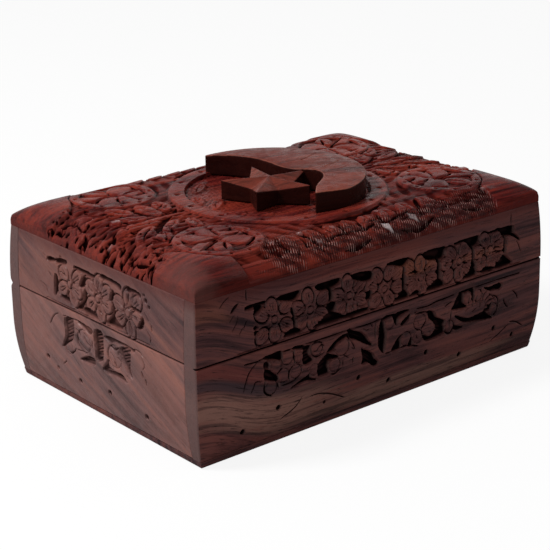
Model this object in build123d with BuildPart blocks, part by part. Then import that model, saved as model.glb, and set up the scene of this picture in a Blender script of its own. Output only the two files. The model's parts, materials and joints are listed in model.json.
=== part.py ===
from build123d import *
from math import atan2, cos, degrees, radians, sin, sqrt, tan
import os

# Hinged wooden keepsake box with carved sides and a crowned, carved top.
# Millimetres. The origin is the middle of the underside; +X runs along the long
# front, -Y is the front, +Z is up. The lid is closed.

# ---- Driving dimensions ----

# Box, measured at the split between base and lid
box_length = 178.0             # along X
box_width = 123.0              # along Y
base_height = 40.0             # table to split
lid_wall_height = 24.0         # split to the seam under the top board
top_board_thickness = 10.5     # seam to the flat of the crown
wall_thickness = 7.0           # the eight wall boards
bottom_thickness = 3.0

# Swell of the sides: widest at the split, drawn in towards table and top
foot_inset = 3.0               # drawn in at the table
foot_curve_height = 25.0       # height where the drawing in starts
foot_ease = 1.2                # rounded lower edge of the bottom board
lid_lean = 1.8                 # drawn in at the arris of the plain corners

# Crown of the top board
crown_width = 18.0             # flat of the crown to the arris
corner_drop = 6.0              # flat to arris at the plain corners
edge_drop = 9.3                # flat to arris where the edge is carved down
corner_along_length = 24.0     # plain corner, along the long sides
corner_along_width = 29.0      # plain corner, along the short sides
corner_depth = 9.0             # how far a plain corner runs in before it slants

# Ring and medallions cut into the top
ring_outer_radius = 44.0
ring_inner_radius = 37.0
ring_ground_depth = 1.5        # ground inside the ring, below the flat
ring_dot_count = 14
ring_dot_radius = 0.7
ring_dot_depth = 0.8
medallion_radius = 17.0
medallion_rim_width = 3.6
medallion_setback_x = 32.0     # end of the box to the middle of a medallion
medallion_setback_y = 27.0     # side of the box to the middle of a medallion
medallion_petals = 6
medallion_petal_length = 11.6
medallion_petal_width = 5.6
medallion_eye_radius = 1.0     # middle of the medallion to the foot of a petal
groove_width = 1.2
groove_depth = 1.2             # grooves and the sunk grounds

# Foliage about the ring and the medallions: leaves left standing in a sunk ground, and
# chips cut beside the edges. Each runs from foot to tip and has a width. Those at an end
# are measured from the end and from the middle line, those at a side from the middle
# line and from the side; the other end and the other side mirror them.
foliage_margin = 6.5           # side of the box to the sunk ground
end_leaves = [
    ((34.5, 4.5), (33.5, 20.0), 6.5), ((40.5, 7.5), (42.0, 19.5), 6.0),
    ((27.0, 12.0), (21.5, 23.0), 6.5), ((29.0, 5.3), (14.0, 9.5), 5.5),
    ((37.5, 0.2), (9.0, -1.5), 4.8), ((36.0, -4.0), (24.0, -13.0), 4.6),
    ((24.5, -4.8), (11.0, -13.5), 4.8), ((24.0, -12.5), (18.0, -22.0), 6.0),
    ((40.5, -5.5), (38.0, -16.5), 5.5), ((14.0, 20.5), (3.5, 20.5), 8.5),
    ((13.0, -19.5), (3.5, -20.5), 7.0), ((13.5, -27.5), (4.5, -28.0), 5.5),
]
side_leaves = [
    ((-36.0, 16.0), (-35.0, 5.0), 8.5), ((-25.5, 15.5), (-25.0, 5.0), 7.5),
    ((-16.0, 15.5), (-15.0, 5.0), 7.0), ((-7.5, 15.0), (-7.0, 5.0), 6.5),
    ((2.0, 15.0), (2.0, 5.0), 8.0), ((12.0, 15.5), (13.5, 5.0), 7.5),
    ((22.0, 16.5), (23.5, 5.0), 7.5), ((33.0, 17.0), (36.0, 5.0), 8.0),
]
end_chips = [
    ((3.2, -25.0), (9.0, -24.0), 2.4), ((3.2, -16.0), (9.5, -15.5), 2.6),
    ((3.4, -5.5), (10.0, -4.0), 2.8), ((3.2, 12.0), (9.5, 14.0), 2.8),
    ((3.6, 26.0), (9.0, 27.0), 2.4),
]
side_chips = [
    ((-42.0, 4.0), (-43.0, 10.0), 2.4), ((-30.0, 3.4), (-30.0, 9.0), 2.4),
    ((-20.0, 3.4), (-20.5, 9.0), 2.2), ((-2.0, 3.4), (-2.5, 9.0), 2.4),
    ((7.5, 3.4), (7.0, 9.0), 2.2), ((18.0, 3.4), (17.5, 9.0), 2.4),
    ((29.0, 3.4), (28.5, 9.0), 2.4),
]

# Crescent and star standing on the ring's ground
crescent_centre = (-3.4, 0.7)
crescent_outer_radius = 38.2
crescent_inner_edge = [        # back horn to front horn, from the crescent's middle
    (-3.4, 37.0), (0.0, 33.0), (3.2, 27.8), (6.0, 22.0), (8.0, 15.5), (8.8, 8.5), (9.4, 0.7),
    (11.4, -4.9), (13.8, -9.4), (14.0, -14.2), (11.6, -18.9), (7.4, -22.7), (2.4, -26.1),
    (-2.4, -30.3), (-5.9, -34.2),
]
front_horn_slant = (14.0, -3.2)  # from the tip of the front horn, along its outer side
crescent_height = 9.2          # ground to the crest of its crowned top
crescent_crest_radius = 24.0   # where the crest runs, from its middle
crescent_rim_drop = 1.0        # crest to the outer rim
star_centre = (-8.6, -5.0)
star_radius = 19.0
star_notch_radius = 9.4
star_turn = 0.0                # direction of one point, degrees from +X
star_point_count = 5
star_tip_height = 8.0          # ground to the tips of the points
star_notch_height = 5.8        # ground to the rim in the notches
star_height = 9.2              # ground to the peak, where the points' ridges meet

# Carved bands on the walls
carving_depth = 1.6
lid_band_height = 17.0
lid_band_rise = 1.5            # split to the lower edge of the lid's band
base_band_height = 15.0
base_band_drop = 4.0           # split to the upper edge of the base's band
long_band_left = 23.0          # end of the box to the band, on front and back
long_band_right = 19.0
short_band_margin = 30.0       # side of the box to the band, on the ends
flower_pitch = 18.6
flower_ring_radius = 4.9       # middle of the flower to the middle of a petal
flower_petal_radius = 3.4
flower_petals = 6
leaf_pitch = 31.0
leaf_length = 22.0
leaf_width = 8.5
leaf_tilt = 12.0               # degrees, turned the other way on every second leaf

# Drilled dots in two staggered rows along the base
dot_radius = 1.0
dot_depth = 1.6
upper_dot_height = 15.8
lower_dot_height = 10.3
dot_pitch = 37.0
dot_margin = 18.0              # end or side of the box to the nearest dot

# Velvet-covered card lining
wall_lining_thickness = 1.2
floor_lining_thickness = 1.5
lid_lining_thickness = 1.5
lining_top_gap = 4.0           # split to the upper edge of the wall lining

# Brass butt hinges let into the back edges
hinge_setback = 38.0           # end of the box to the middle of a hinge
hinge_length = 25.0
hinge_inset = 1.8              # back face to the hinge axis
middle_knuckle_length = 8.0
leaf_reach = 5.0               # axis to the far edge of a leaf
leaf_thickness = 0.8
leaf_parting = 0.05            # each leaf lies this far below its board's edge
barrel_radius = 1.5
pin_radius = 0.6
pin_clearance = 0.05           # pin to the turning knuckle
knuckle_gap = 0.15             # between neighbouring knuckles
relief_clearance = 0.25        # barrel to the hollow cut for it
mortise_clearance = 0.1        # leaf to the sides of its mortise
stop_bevel_angle = 52.0        # bevel of each back edge; the two bevels meet at the stop
screw_spacing = 16.0
screw_setback = 3.4            # axis to the screws
screw_radius = 0.6
screw_head_radius = 1.2
screw_length = 6.0
screw_point_length = 1.4
screw_slot_width = 0.35
screw_slot_depth = 0.3
countersink_angle = 82.0

# Steel brads that hold the bottom board
brad_radius = 0.5
brad_head_radius = 1.1
brad_head_thickness = 0.4
brad_length = 14.0
brad_setback = 5.2             # side of the box to the brads
brad_corner_gap = 20.0         # end of the box to the first brad
brad_pitch = 44.0

# ---- Derived sizes ----

half_length = box_length / 2
half_width = box_width / 2
seam_height = base_height + lid_wall_height
flat_height = seam_height + top_board_thickness
ring_ground = flat_height - ring_ground_depth
inner_length = box_length - 2 * wall_thickness
inner_width = box_width - 2 * wall_thickness
hinge_axis_y = half_width - hinge_inset
hinge_middles = (-half_length + hinge_setback, half_length - hinge_setback)
screw_head_depth = (screw_head_radius - screw_radius) / tan(radians(countersink_angle / 2))

side_planes = {
    "front": Plane(origin=(0, -half_width, 0), x_dir=(1, 0, 0), z_dir=(0, -1, 0)),
    "back": Plane(origin=(0, half_width, 0), x_dir=(-1, 0, 0), z_dir=(0, 1, 0)),
    "left": Plane(origin=(-half_length, 0, 0), x_dir=(0, -1, 0), z_dir=(-1, 0, 0)),
    "right": Plane(origin=(half_length, 0, 0), x_dir=(0, 1, 0), z_dir=(1, 0, 0)),
}
side_widths = {
    "front": box_length, "back": box_length, "left": box_width, "right": box_width,
}
long_sides = ("front", "back")

os.makedirs("parts", exist_ok=True)


def save(builder, name):
    builder.part.label = name
    export_step(builder.part, f"parts/{name}.step")


def row(start, end, pitch):
    """Evenly spaced places, about a pitch apart, the first and last at the two ends."""
    gaps = max(1, round((end - start) / pitch))
    step = (end - start) / gaps
    return [start + step * i for i in range(gaps + 1)]


def spread(start, end, pitch):
    """Middles of as many evenly spaced copies as fit between two ends."""
    count = max(1, int((end - start) / pitch))
    step = (end - start) / count
    return [start + step * (i + 0.5) for i in range(count)]


# ---- Outer forms that the boards are trimmed to ----


def lid_inset(height):
    """How far the lid's side is drawn in at a height, on one arc from the split."""
    rise = flat_height - corner_drop - base_height
    radius = (lid_lean**2 + rise**2) / (2 * lid_lean)
    return radius - sqrt(radius**2 - (height - base_height) ** 2)


def base_inset(height):
    """How far the base's side is drawn in at a height below the foot curve's start."""
    radius = (foot_inset**2 + foot_curve_height**2) / (2 * foot_inset)
    return radius - sqrt(radius**2 - (foot_curve_height - height) ** 2)


def base_form():
    """The base's swelled block, from the table to the split."""
    with BuildPart() as form:
        for plane, half, mode in (
            (Plane.XZ, half_length, Mode.ADD),
            (Plane.YZ, half_width, Mode.INTERSECT),
        ):
            with BuildSketch(plane):
                with BuildLine():
                    foot = TangentArc(
                        (half, foot_curve_height), (half - foot_inset, 0), tangent=(0, -1)
                    )
                    side = Line(foot @ 0, (half, base_height))
                    Line(side @ 1, (0, base_height))
                    Line(foot @ 1, (0, 0))
                    mirror(about=Plane.YZ)
                make_face()
            extrude(amount=box_length, both=True, mode=mode)
    return form.part


def lid_form(drop):
    """The lid's swelled and crowned block, with its arris a given drop below the flat."""
    arris = flat_height - drop
    inset = lid_inset(arris)
    with BuildPart() as form:
        for plane, half, mode in (
            (Plane.XZ, half_length, Mode.ADD),
            (Plane.YZ, half_width, Mode.INTERSECT),
        ):
            with BuildSketch(plane):
                with BuildLine():
                    side = TangentArc((half, base_height), (half - inset, arris), tangent=(0, 1))
                    crown = TangentArc(
                        (half - inset - crown_width, flat_height), side @ 1, tangent=(1, 0)
                    )
                    Line(crown @ 0, (0, flat_height))
                    Line(side @ 0, (0, base_height))
                    mirror(about=Plane.YZ)
                make_face()
            extrude(amount=box_length, both=True, mode=mode)
    return form.part


base_block = base_form()
full_lid_block = lid_form(corner_drop)
carved_lid_block = lid_form(edge_drop)


# ---- Sketches shared by the boards ----


def board_outline(side):
    """Plan of a board: the long sides run the full length, the short ones fit between."""
    sign = -1 if side in ("front", "left") else 1
    if side in long_sides:
        with Locations((0, sign * (half_width - wall_thickness / 2))):
            Rectangle(box_length, wall_thickness)
    else:
        with Locations((sign * (half_length - wall_thickness / 2), 0)):
            Rectangle(wall_thickness, inner_width)


def band_span(side):
    """The carved band's two ends along a side, in the side's own plane."""
    if side in long_sides:
        return -half_length + long_band_left, half_length - long_band_right
    return -half_width + short_band_margin, half_width - short_band_margin


def flower():
    """Rounded petals in a ring, taken out of the ground so that they stand proud."""
    Circle(flower_ring_radius, mode=Mode.SUBTRACT)
    with PolarLocations(flower_ring_radius, flower_petals, start_angle=90):
        Circle(flower_petal_radius, mode=Mode.SUBTRACT)


def lid_band_ground(side):
    """The sunk ground of the lid's band about its row of flowers."""
    start, end = band_span(side)
    middle = base_height + lid_band_rise + lid_band_height / 2
    with Locations(((start + end) / 2, middle)):
        Rectangle(end - start, lid_band_height)
    with Locations(*[(u, middle) for u in spread(start, end, flower_pitch)]):
        flower()


def base_band_ground(side):
    """The sunk ground of the base's band about its row of leaves."""
    start, end = band_span(side)
    middle = base_height - base_band_drop - base_band_height / 2
    with Locations(((start + end) / 2, middle)):
        Rectangle(end - start, base_band_height)
    for i, u in enumerate(spread(start, end, leaf_pitch)):
        with Locations((u, middle)):
            Ellipse(
                leaf_length / 2, leaf_width / 2,
                rotation=leaf_tilt * (-1) ** i, mode=Mode.SUBTRACT,
            )


def dot_rows(side):
    """Two rows of dots, the upper row shifted by half a pitch."""
    start = -side_widths[side] / 2 + dot_margin
    end = side_widths[side] / 2 - dot_margin
    lower = row(start, end, dot_pitch)
    half_step = (lower[1] - lower[0]) / 2
    upper = [u + half_step for u in lower[:-1]]
    return ((lower, lower_dot_height), (upper, upper_dot_height))


def crescent_outline():
    """A disc bitten by a freely curved bay; both horns end blunt."""
    reach = 2 * crescent_outer_radius
    back_x = crescent_inner_edge[0][0]
    tip_x, tip_y = crescent_inner_edge[-1]
    slant_x, slant_y = front_horn_slant
    with BuildSketch(mode=Mode.PRIVATE) as bay:
        with BuildLine():
            Spline(*crescent_inner_edge)
            Polyline(
                (tip_x, tip_y), (tip_x + slant_x, tip_y + slant_y), (tip_x + slant_x, -reach),
                (-reach, -reach), (-reach, reach), (back_x, reach), crescent_inner_edge[0],
            )
        make_face()
    with Locations(crescent_centre):
        Circle(crescent_outer_radius)
        add(bay.sketch, mode=Mode.SUBTRACT)


def mirrored_ovals(end_ovals, side_ovals, mode):
    """Ovals from foot to tip, placed at both ends and along both sides of the top."""
    ovals = [((x - half_length, y), (u - half_length, v), width, (-1, 1))
             for (x, y), (u, v), width in end_ovals]
    ovals += [((x, y - half_width), (u, v - half_width), width, (1, -1))
              for (x, y), (u, v), width in side_ovals]
    for foot, tip, width, flip in ovals:
        for sign_x, sign_y in ((1, 1), flip):
            run = Vector((tip[0] - foot[0]) * sign_x, (tip[1] - foot[1]) * sign_y)
            middle = ((foot[0] + tip[0]) / 2 * sign_x, (foot[1] + tip[1]) / 2 * sign_y)
            with Locations(middle):
                Ellipse(
                    run.length / 2, width / 2, mode=mode,
                    rotation=degrees(atan2(run.Y, run.X)),
                )


def hinge_cut(middle, upward):
    """Mortise for a leaf and hollow for the barrel, in a back board's edge."""
    depth = leaf_thickness + leaf_parting
    with BuildSketch(Plane.XY.offset(base_height)) as mortise:
        with Locations((middle, hinge_axis_y - leaf_reach - mortise_clearance)):
            Rectangle(
                hinge_length + 2 * mortise_clearance, leaf_reach + mortise_clearance,
                align=(Align.CENTER, Align.MIN),
            )
    extrude(mortise.sketch, amount=depth * upward, mode=Mode.SUBTRACT)
    with BuildSketch(Plane.YZ.offset(middle)) as hollow:
        with Locations((hinge_axis_y, base_height)):
            Circle(barrel_radius + relief_clearance)
    reach = hinge_length / 2 + mortise_clearance
    extrude(hollow.sketch, amount=reach, both=True, mode=Mode.SUBTRACT)


def stop_bevel(upward):
    """Back edge bevelled away from the hinge axis, so that the lid opens to its stop."""
    past = hinge_inset + wall_thickness
    fall = past * tan(radians(stop_bevel_angle)) * upward
    with BuildSketch(Plane.YZ) as bevel:
        Polygon(
            (hinge_axis_y, base_height),
            (hinge_axis_y + past, base_height),
            (hinge_axis_y + past, base_height + fall),
            align=None,
        )
    extrude(bevel.sketch, amount=box_length, both=True, mode=Mode.SUBTRACT)


def hinge_screw_places():
    return [
        (middle + offset, hinge_axis_y - screw_setback)
        for middle in hinge_middles
        for offset in (-screw_spacing / 2, screw_spacing / 2)
    ]


def screw_planes(upward):
    """Planes on the leaves' free faces; each looks out of its board's edge."""
    height = base_height + upward * leaf_parting
    return [
        Plane(origin=(x, y, height), x_dir=(1, 0, 0), z_dir=(0, 0, -upward))
        for x, y in hinge_screw_places()
    ]


def brad_places():
    long_run = half_length - brad_corner_gap
    long_line = half_width - brad_setback
    short_run = half_width - brad_corner_gap
    short_line = half_length - brad_setback
    places = [(x, y) for x in row(-long_run, long_run, brad_pitch)
              for y in (-long_line, long_line)]
    places += [(x, y) for y in row(-short_run, short_run, brad_pitch)
               for x in (-short_line, short_line)]
    return places


# ---- Base: four boards on a bottom board ----

for side, plane in side_planes.items():
    with BuildPart() as base_board:
        with BuildSketch(Plane.XY.offset(bottom_thickness)):
            board_outline(side)
        extrude(amount=base_height - bottom_thickness)
        add(base_block, mode=Mode.INTERSECT)
        with BuildSketch(plane):
            base_band_ground(side)
        extrude(amount=-carving_depth, mode=Mode.SUBTRACT)
        # The dots are cut from the widest plane, so the drawing in is added to their depth
        for places, height in dot_rows(side):
            with BuildSketch(plane):
                with Locations(*[(u, height) for u in places]):
                    Circle(dot_radius)
            extrude(amount=-base_inset(height) - dot_depth, mode=Mode.SUBTRACT)
        with Locations(*[(x, y, bottom_thickness) for x, y in brad_places()]):
            Cylinder(
                brad_radius, brad_length - bottom_thickness,
                align=(Align.CENTER, Align.CENTER, Align.MIN), mode=Mode.SUBTRACT,
            )
        if side == "back":
            stop_bevel(-1)
            for middle in hinge_middles:
                hinge_cut(middle, -1)
            with Locations(*screw_planes(-1)):
                Hole(screw_radius, depth=screw_length)
    save(base_board, f"base_{side}_board")

with BuildPart() as bottom_board:
    with BuildSketch():
        Rectangle(box_length, box_width)
    extrude(amount=bottom_thickness)
    add(base_block, mode=Mode.INTERSECT)
    fillet(bottom_board.edges().group_by(Axis.Z)[0], radius=foot_ease)
    with Locations(*[Plane(origin=(x, y, 0), z_dir=(0, 0, -1)) for x, y in brad_places()]):
        CounterBoreHole(brad_radius, brad_head_radius, brad_head_thickness)
save(bottom_board, "bottom_board")

with BuildPart() as brad:
    with BuildSketch():
        Circle(brad_head_radius)
    extrude(amount=brad_head_thickness)
    with BuildSketch():
        Circle(brad_radius)
    extrude(amount=brad_length - 2 * brad_radius)
    brad_end = brad.faces().sort_by(Axis.Z)[-1]
    with BuildSketch(brad_end):
        Circle(brad_radius)
    extrude(amount=brad_radius, taper=40)

with BuildPart() as bottom_brads:
    with Locations(*brad_places()):
        add(brad.part)
save(bottom_brads, "bottom_brads")

# ---- Lid: four boards under the top board ----

for side, plane in side_planes.items():
    with BuildPart() as lid_board:
        with BuildSketch(Plane.XY.offset(base_height)):
            board_outline(side)
        extrude(amount=lid_wall_height)
        add(full_lid_block, mode=Mode.INTERSECT)
        with BuildSketch(plane):
            lid_band_ground(side)
        extrude(amount=-carving_depth, mode=Mode.SUBTRACT)
        if side == "back":
            stop_bevel(1)
            for middle in hinge_middles:
                hinge_cut(middle, 1)
            with Locations(*screw_planes(1)):
                Hole(screw_radius, depth=screw_length)
    save(lid_board, f"lid_{side}_board")

# The top is carved down along its edges, between four plain corners at full height
with BuildPart() as plain_corners:
    with BuildSketch(Plane.XY.offset(seam_height)):
        with GridLocations(box_length, box_width, 2, 2):
            Polygon(
                (corner_along_length, corner_depth), (corner_depth, corner_along_width),
                (-corner_depth, corner_along_width), (-corner_along_length, corner_depth),
                (-corner_along_length, -corner_depth), (-corner_depth, -corner_along_width),
                (corner_depth, -corner_along_width), (corner_along_length, -corner_depth),
                align=None,
            )
    extrude(amount=top_board_thickness)
    add(full_lid_block, mode=Mode.INTERSECT)

# Sunk grounds of the foliage and the medallions, chips, and the line about the ring, cut
# to one depth below the crown: the cutter's underside is the crown, lowered by that depth
medallion_x = half_length - medallion_setback_x
medallion_y = half_width - medallion_setback_y
petal_ring = medallion_eye_radius + medallion_petal_length / 2

with BuildPart() as crown_cutter:
    with BuildSketch(Plane.XY.offset(seam_height)):
        Rectangle(box_length - 2 * foliage_margin, box_width - 2 * foliage_margin)
        mirrored_ovals(end_leaves, side_leaves, Mode.SUBTRACT)
        mirrored_ovals(end_chips, side_chips, Mode.ADD)
        Circle(ring_outer_radius + groove_width / 2)
        with GridLocations(2 * medallion_x, 2 * medallion_y, 2, 2):
            Circle(medallion_radius, mode=Mode.SUBTRACT)
        Circle(ring_outer_radius - groove_width / 2, mode=Mode.SUBTRACT)
        with GridLocations(2 * medallion_x, 2 * medallion_y, 2, 2):
            Circle(medallion_radius - medallion_rim_width)
            with PolarLocations(petal_ring, medallion_petals):
                Ellipse(
                    medallion_petal_length / 2, medallion_petal_width / 2, mode=Mode.SUBTRACT
                )
    extrude(amount=2 * top_board_thickness)
    add(carved_lid_block.moved(Location((0, 0, -groove_depth))), mode=Mode.SUBTRACT)

with BuildPart() as lid_top_board:
    with BuildSketch(Plane.XY.offset(seam_height)):
        Rectangle(box_length, box_width)
    extrude(amount=top_board_thickness)
    add(carved_lid_block, mode=Mode.INTERSECT)
    add(crown_cutter.part, mode=Mode.SUBTRACT)
    add(plain_corners.part)
    with BuildSketch(Plane.XY.offset(flat_height)):
        crescent_outline()
        Circle(ring_inner_radius)
    extrude(amount=-ring_ground_depth, mode=Mode.SUBTRACT)
    with BuildSketch(Plane.XY.offset(flat_height)):
        with PolarLocations((ring_inner_radius + ring_outer_radius) / 2, ring_dot_count):
            Circle(ring_dot_radius)
    extrude(amount=-ring_dot_depth, mode=Mode.SUBTRACT)
save(lid_top_board, "lid_top_board")

# ---- Crescent and star ----

with BuildPart() as crescent:
    with BuildSketch(Plane.XY.offset(ring_ground)):
        crescent_outline()
    extrude(amount=crescent_height)
    # Crowned top: an arc turned about the crescent's middle
    crest = ring_ground + crescent_height
    rim = crest - crescent_rim_drop
    middle_x, middle_y = crescent_centre
    reach = 2 * crescent_outer_radius
    with BuildSketch(Plane(origin=(middle_x, middle_y, 0), x_dir=(1, 0, 0), z_dir=(0, -1, 0))):
        with BuildLine():
            crown = ThreePointArc(
                (2 * crescent_crest_radius - crescent_outer_radius, rim),
                (crescent_crest_radius, crest),
                (crescent_outer_radius, rim),
            )
            Polyline(
                crown @ 1, (reach, rim), (reach, ring_ground), (0, ring_ground), (0, rim), crown @ 0,
            )
        make_face()
    revolve(axis=Axis((middle_x, middle_y, 0), (0, 0, 1)), mode=Mode.INTERSECT)
save(crescent, "crescent")



def around_star(radius, angle, height):
    """A point about the star's middle, at a height above the ring's ground."""
    return (radius * cos(radians(angle)), radius * sin(radians(angle)), height)


# One point of the star: a kite under two facets that meet in a ridge
peak = (0, 0, star_height)
tip = around_star(star_radius, 0, star_tip_height)
half_turn = 180 / star_point_count
with BuildPart() as star_arm:
    with BuildSketch():
        Polygon(
            (0, 0), around_star(star_notch_radius, -half_turn, 0)[:2], tip[:2],
            around_star(star_notch_radius, half_turn, 0)[:2], align=None,
        )
    extrude(amount=star_height)
    for sign in (-1, 1):
        notch = around_star(star_notch_radius, sign * half_turn, star_notch_height)
        along = Vector(*tip) - Vector(*peak)
        facet_normal = along.cross(Vector(*notch) - Vector(*peak)) * sign
        split(bisect_by=Plane(origin=peak, x_dir=along, z_dir=facet_normal), keep=Keep.BOTTOM)

with BuildPart() as star:
    with Locations((*star_centre, ring_ground)):
        with PolarLocations(0, star_point_count, start_angle=star_turn):
            add(star_arm.part)
    # A point is trimmed where it meets the crescent
    with BuildSketch(Plane.XY.offset(ring_ground)):
        crescent_outline()
    extrude(amount=star_height, mode=Mode.SUBTRACT)
save(star, "star")

# ---- Lining ----

with BuildPart() as floor_lining:
    with BuildSketch(Plane.XY.offset(bottom_thickness)):
        Rectangle(inner_length, inner_width)
    extrude(amount=floor_lining_thickness)
save(floor_lining, "floor_lining")

lining_foot = bottom_thickness + floor_lining_thickness
lining_height = base_height - lining_top_gap - lining_foot

for side in side_planes:
    sign = -1 if side in ("front", "left") else 1
    with BuildPart() as wall_lining:
        with BuildSketch(Plane.XY.offset(lining_foot)):
            if side in long_sides:
                with Locations((0, sign * (inner_width - wall_lining_thickness) / 2)):
                    Rectangle(inner_length, wall_lining_thickness)
            else:
                with Locations((sign * (inner_length - wall_lining_thickness) / 2, 0)):
                    Rectangle(wall_lining_thickness, inner_width - 2 * wall_lining_thickness)
        extrude(amount=lining_height)
    save(wall_lining, f"{side}_lining")

with BuildPart() as lid_lining:
    with BuildSketch(Plane.XY.offset(seam_height - lid_lining_thickness)):
        Rectangle(inner_length, inner_width)
    extrude(amount=lid_lining_thickness)
save(lid_lining, "lid_lining")

# ---- Hinges ----

outer_knuckle_length = (hinge_length - middle_knuckle_length) / 2 - knuckle_gap
outer_knuckle_middle = (hinge_length - outer_knuckle_length) / 2
knuckles = {
    -1: ((-outer_knuckle_middle, outer_knuckle_length), (outer_knuckle_middle, outer_knuckle_length)),
    1: ((0, middle_knuckle_length),),
}
bore_radii = {-1: pin_radius, 1: pin_radius + pin_clearance}


def make_leaf(middle, upward):
    """A leaf and its knuckles; upward is 1 for the lid's leaf and -1 for the base's."""
    face_height = base_height + upward * leaf_parting
    plate_edge = hinge_axis_y - barrel_radius - relief_clearance
    far_edge = hinge_axis_y - leaf_reach
    with BuildPart() as leaf:
        with BuildSketch(Plane.XY.offset(face_height)):
            with Locations((middle, far_edge)):
                Rectangle(
                    hinge_length, plate_edge - far_edge, align=(Align.CENTER, Align.MIN)
                )
            for offset, length in knuckles[upward]:
                with Locations((middle + offset, far_edge)):
                    Rectangle(length, leaf_reach, align=(Align.CENTER, Align.MIN))
        extrude(amount=upward * leaf_thickness)
        for offset, length in knuckles[upward]:
            with BuildSketch(Plane.YZ.offset(middle + offset)):
                with Locations((hinge_axis_y, base_height)):
                    Circle(barrel_radius)
            extrude(amount=length / 2, both=True)
        with BuildSketch(Plane.YZ.offset(middle)):
            with Locations((hinge_axis_y, base_height)):
                Circle(bore_radii[upward])
        extrude(amount=hinge_length, both=True, mode=Mode.SUBTRACT)
        leaf_screws = [
            plane for plane in screw_planes(upward) if abs(plane.origin.X - middle) < hinge_length / 2
        ]
        with Locations(*leaf_screws):
            CounterSinkHole(
                screw_radius, screw_head_radius, depth=2 * leaf_thickness,
                counter_sink_angle=countersink_angle,
            )
    return leaf


for side, middle in zip(("left", "right"), hinge_middles):
    save(make_leaf(middle, -1), f"{side}_hinge_base_leaf")
    save(make_leaf(middle, 1), f"{side}_hinge_lid_leaf")
    with BuildPart() as pin:
        with BuildSketch(Plane.YZ.offset(middle)):
            with Locations((hinge_axis_y, base_height)):
                Circle(pin_radius)
        extrude(amount=hinge_length / 2, both=True)
    save(pin, f"{side}_hinge_pin")

# Countersunk screw, head up at the origin
with BuildPart() as screw:
    with BuildSketch(Plane.XZ):
        with BuildLine():
            Polyline(
                (0, 0), (screw_head_radius, 0), (screw_radius, -screw_head_depth),
                (screw_radius, screw_point_length - screw_length), (0, -screw_length),
                close=True,
            )
        make_face()
    revolve(axis=Axis.Z)
    with BuildSketch():
        Rectangle(2 * screw_head_radius, screw_slot_width)
    extrude(amount=-screw_slot_depth, mode=Mode.SUBTRACT)

for body, upward in (("base", -1), ("lid", 1)):
    with BuildPart() as hinge_screws:
        with Locations(*screw_planes(upward)):
            add(screw.part)
    save(hinge_screws, f"{body}_hinge_screws")
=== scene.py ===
import json
import math
import bpy
import numpy as np
from mathutils import Matrix, Vector

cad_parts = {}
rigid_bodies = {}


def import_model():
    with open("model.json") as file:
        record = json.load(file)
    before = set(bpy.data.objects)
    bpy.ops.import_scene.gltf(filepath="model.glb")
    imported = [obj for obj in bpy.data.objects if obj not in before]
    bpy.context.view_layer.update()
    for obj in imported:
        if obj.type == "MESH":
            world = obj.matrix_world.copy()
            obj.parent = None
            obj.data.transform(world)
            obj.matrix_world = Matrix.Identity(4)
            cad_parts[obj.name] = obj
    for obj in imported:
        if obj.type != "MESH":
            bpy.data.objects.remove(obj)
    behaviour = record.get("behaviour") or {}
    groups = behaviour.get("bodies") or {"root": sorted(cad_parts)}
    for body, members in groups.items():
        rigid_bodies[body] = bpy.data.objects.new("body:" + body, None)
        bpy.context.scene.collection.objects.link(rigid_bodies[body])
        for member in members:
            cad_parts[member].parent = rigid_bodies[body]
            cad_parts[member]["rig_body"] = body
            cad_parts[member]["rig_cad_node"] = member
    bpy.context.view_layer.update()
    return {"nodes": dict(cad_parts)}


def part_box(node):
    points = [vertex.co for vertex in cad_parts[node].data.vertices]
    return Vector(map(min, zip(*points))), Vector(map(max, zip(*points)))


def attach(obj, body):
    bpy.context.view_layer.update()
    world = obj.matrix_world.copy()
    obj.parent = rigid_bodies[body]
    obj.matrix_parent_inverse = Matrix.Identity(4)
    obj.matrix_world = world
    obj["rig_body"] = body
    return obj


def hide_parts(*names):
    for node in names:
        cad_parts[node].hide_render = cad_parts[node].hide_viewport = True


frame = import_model()
mm = 0.001
creaseAngle = math.radians(50)
print("keepsake box: frame loaded,", len(frame["nodes"]), "solids")

# The box's own sizes in mm, as in the part's source
box = {
    "halfLength": 89.0, "halfWidth": 61.5, "wall": 7.0, "bottom": 3.0,
    "split": 40.0, "seam": 64.0, "flat": 74.5,
    "footInset": 3.0, "footStart": 25.0, "lidLean": 1.8, "lidRise": 28.5,
}
sides = {  # direction along the side, direction out of it, distance to its face
    "front": ((1, 0), (0, -1), box["halfWidth"]), "back": ((-1, 0), (0, 1), box["halfWidth"]),
    "left": ((0, -1), (-1, 0), box["halfLength"]), "right": ((0, 1), (1, 0), box["halfLength"]),
}


def insetAt(z):  # how far the sides are drawn in at a height
    z = np.asarray(z, float)
    foot = np.clip(box["footStart"] - z, 0, None)
    footRadius = (box["footInset"] ** 2 + box["footStart"] ** 2) / (2 * box["footInset"])
    lean = np.clip(z - box["split"], 0, None)
    leanRadius = (box["lidLean"] ** 2 + box["lidRise"] ** 2) / (2 * box["lidLean"])
    return (footRadius - np.sqrt(footRadius ** 2 - foot ** 2)
            + leanRadius - np.sqrt(leanRadius ** 2 - lean ** 2))


# Chisels: they work on a sheet of heights over one face, in mm, 0 at the face
def newSheet(lowU, highU, lowV, highV, pitch):
    columns, rows = round((highU - lowU) / pitch), round((highV - lowV) / pitch)
    u, v = np.linspace(lowU, highU, columns + 1), np.linspace(lowV, highV, rows + 1)
    return {"u": u, "v": v, "h": np.zeros((rows + 1, columns + 1))}


def patchOf(sheet, lowU, highU, lowV, highV):  # the rows and columns round a stroke
    c0, c1 = np.searchsorted(sheet["u"], (lowU, highU))
    r0, r1 = np.searchsorted(sheet["v"], (lowV, highV))
    u, v = np.meshgrid(sheet["u"][c0:c1], sheet["v"][r0:r1])
    return u, v, (slice(r0, r1), slice(c0, c1))


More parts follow.
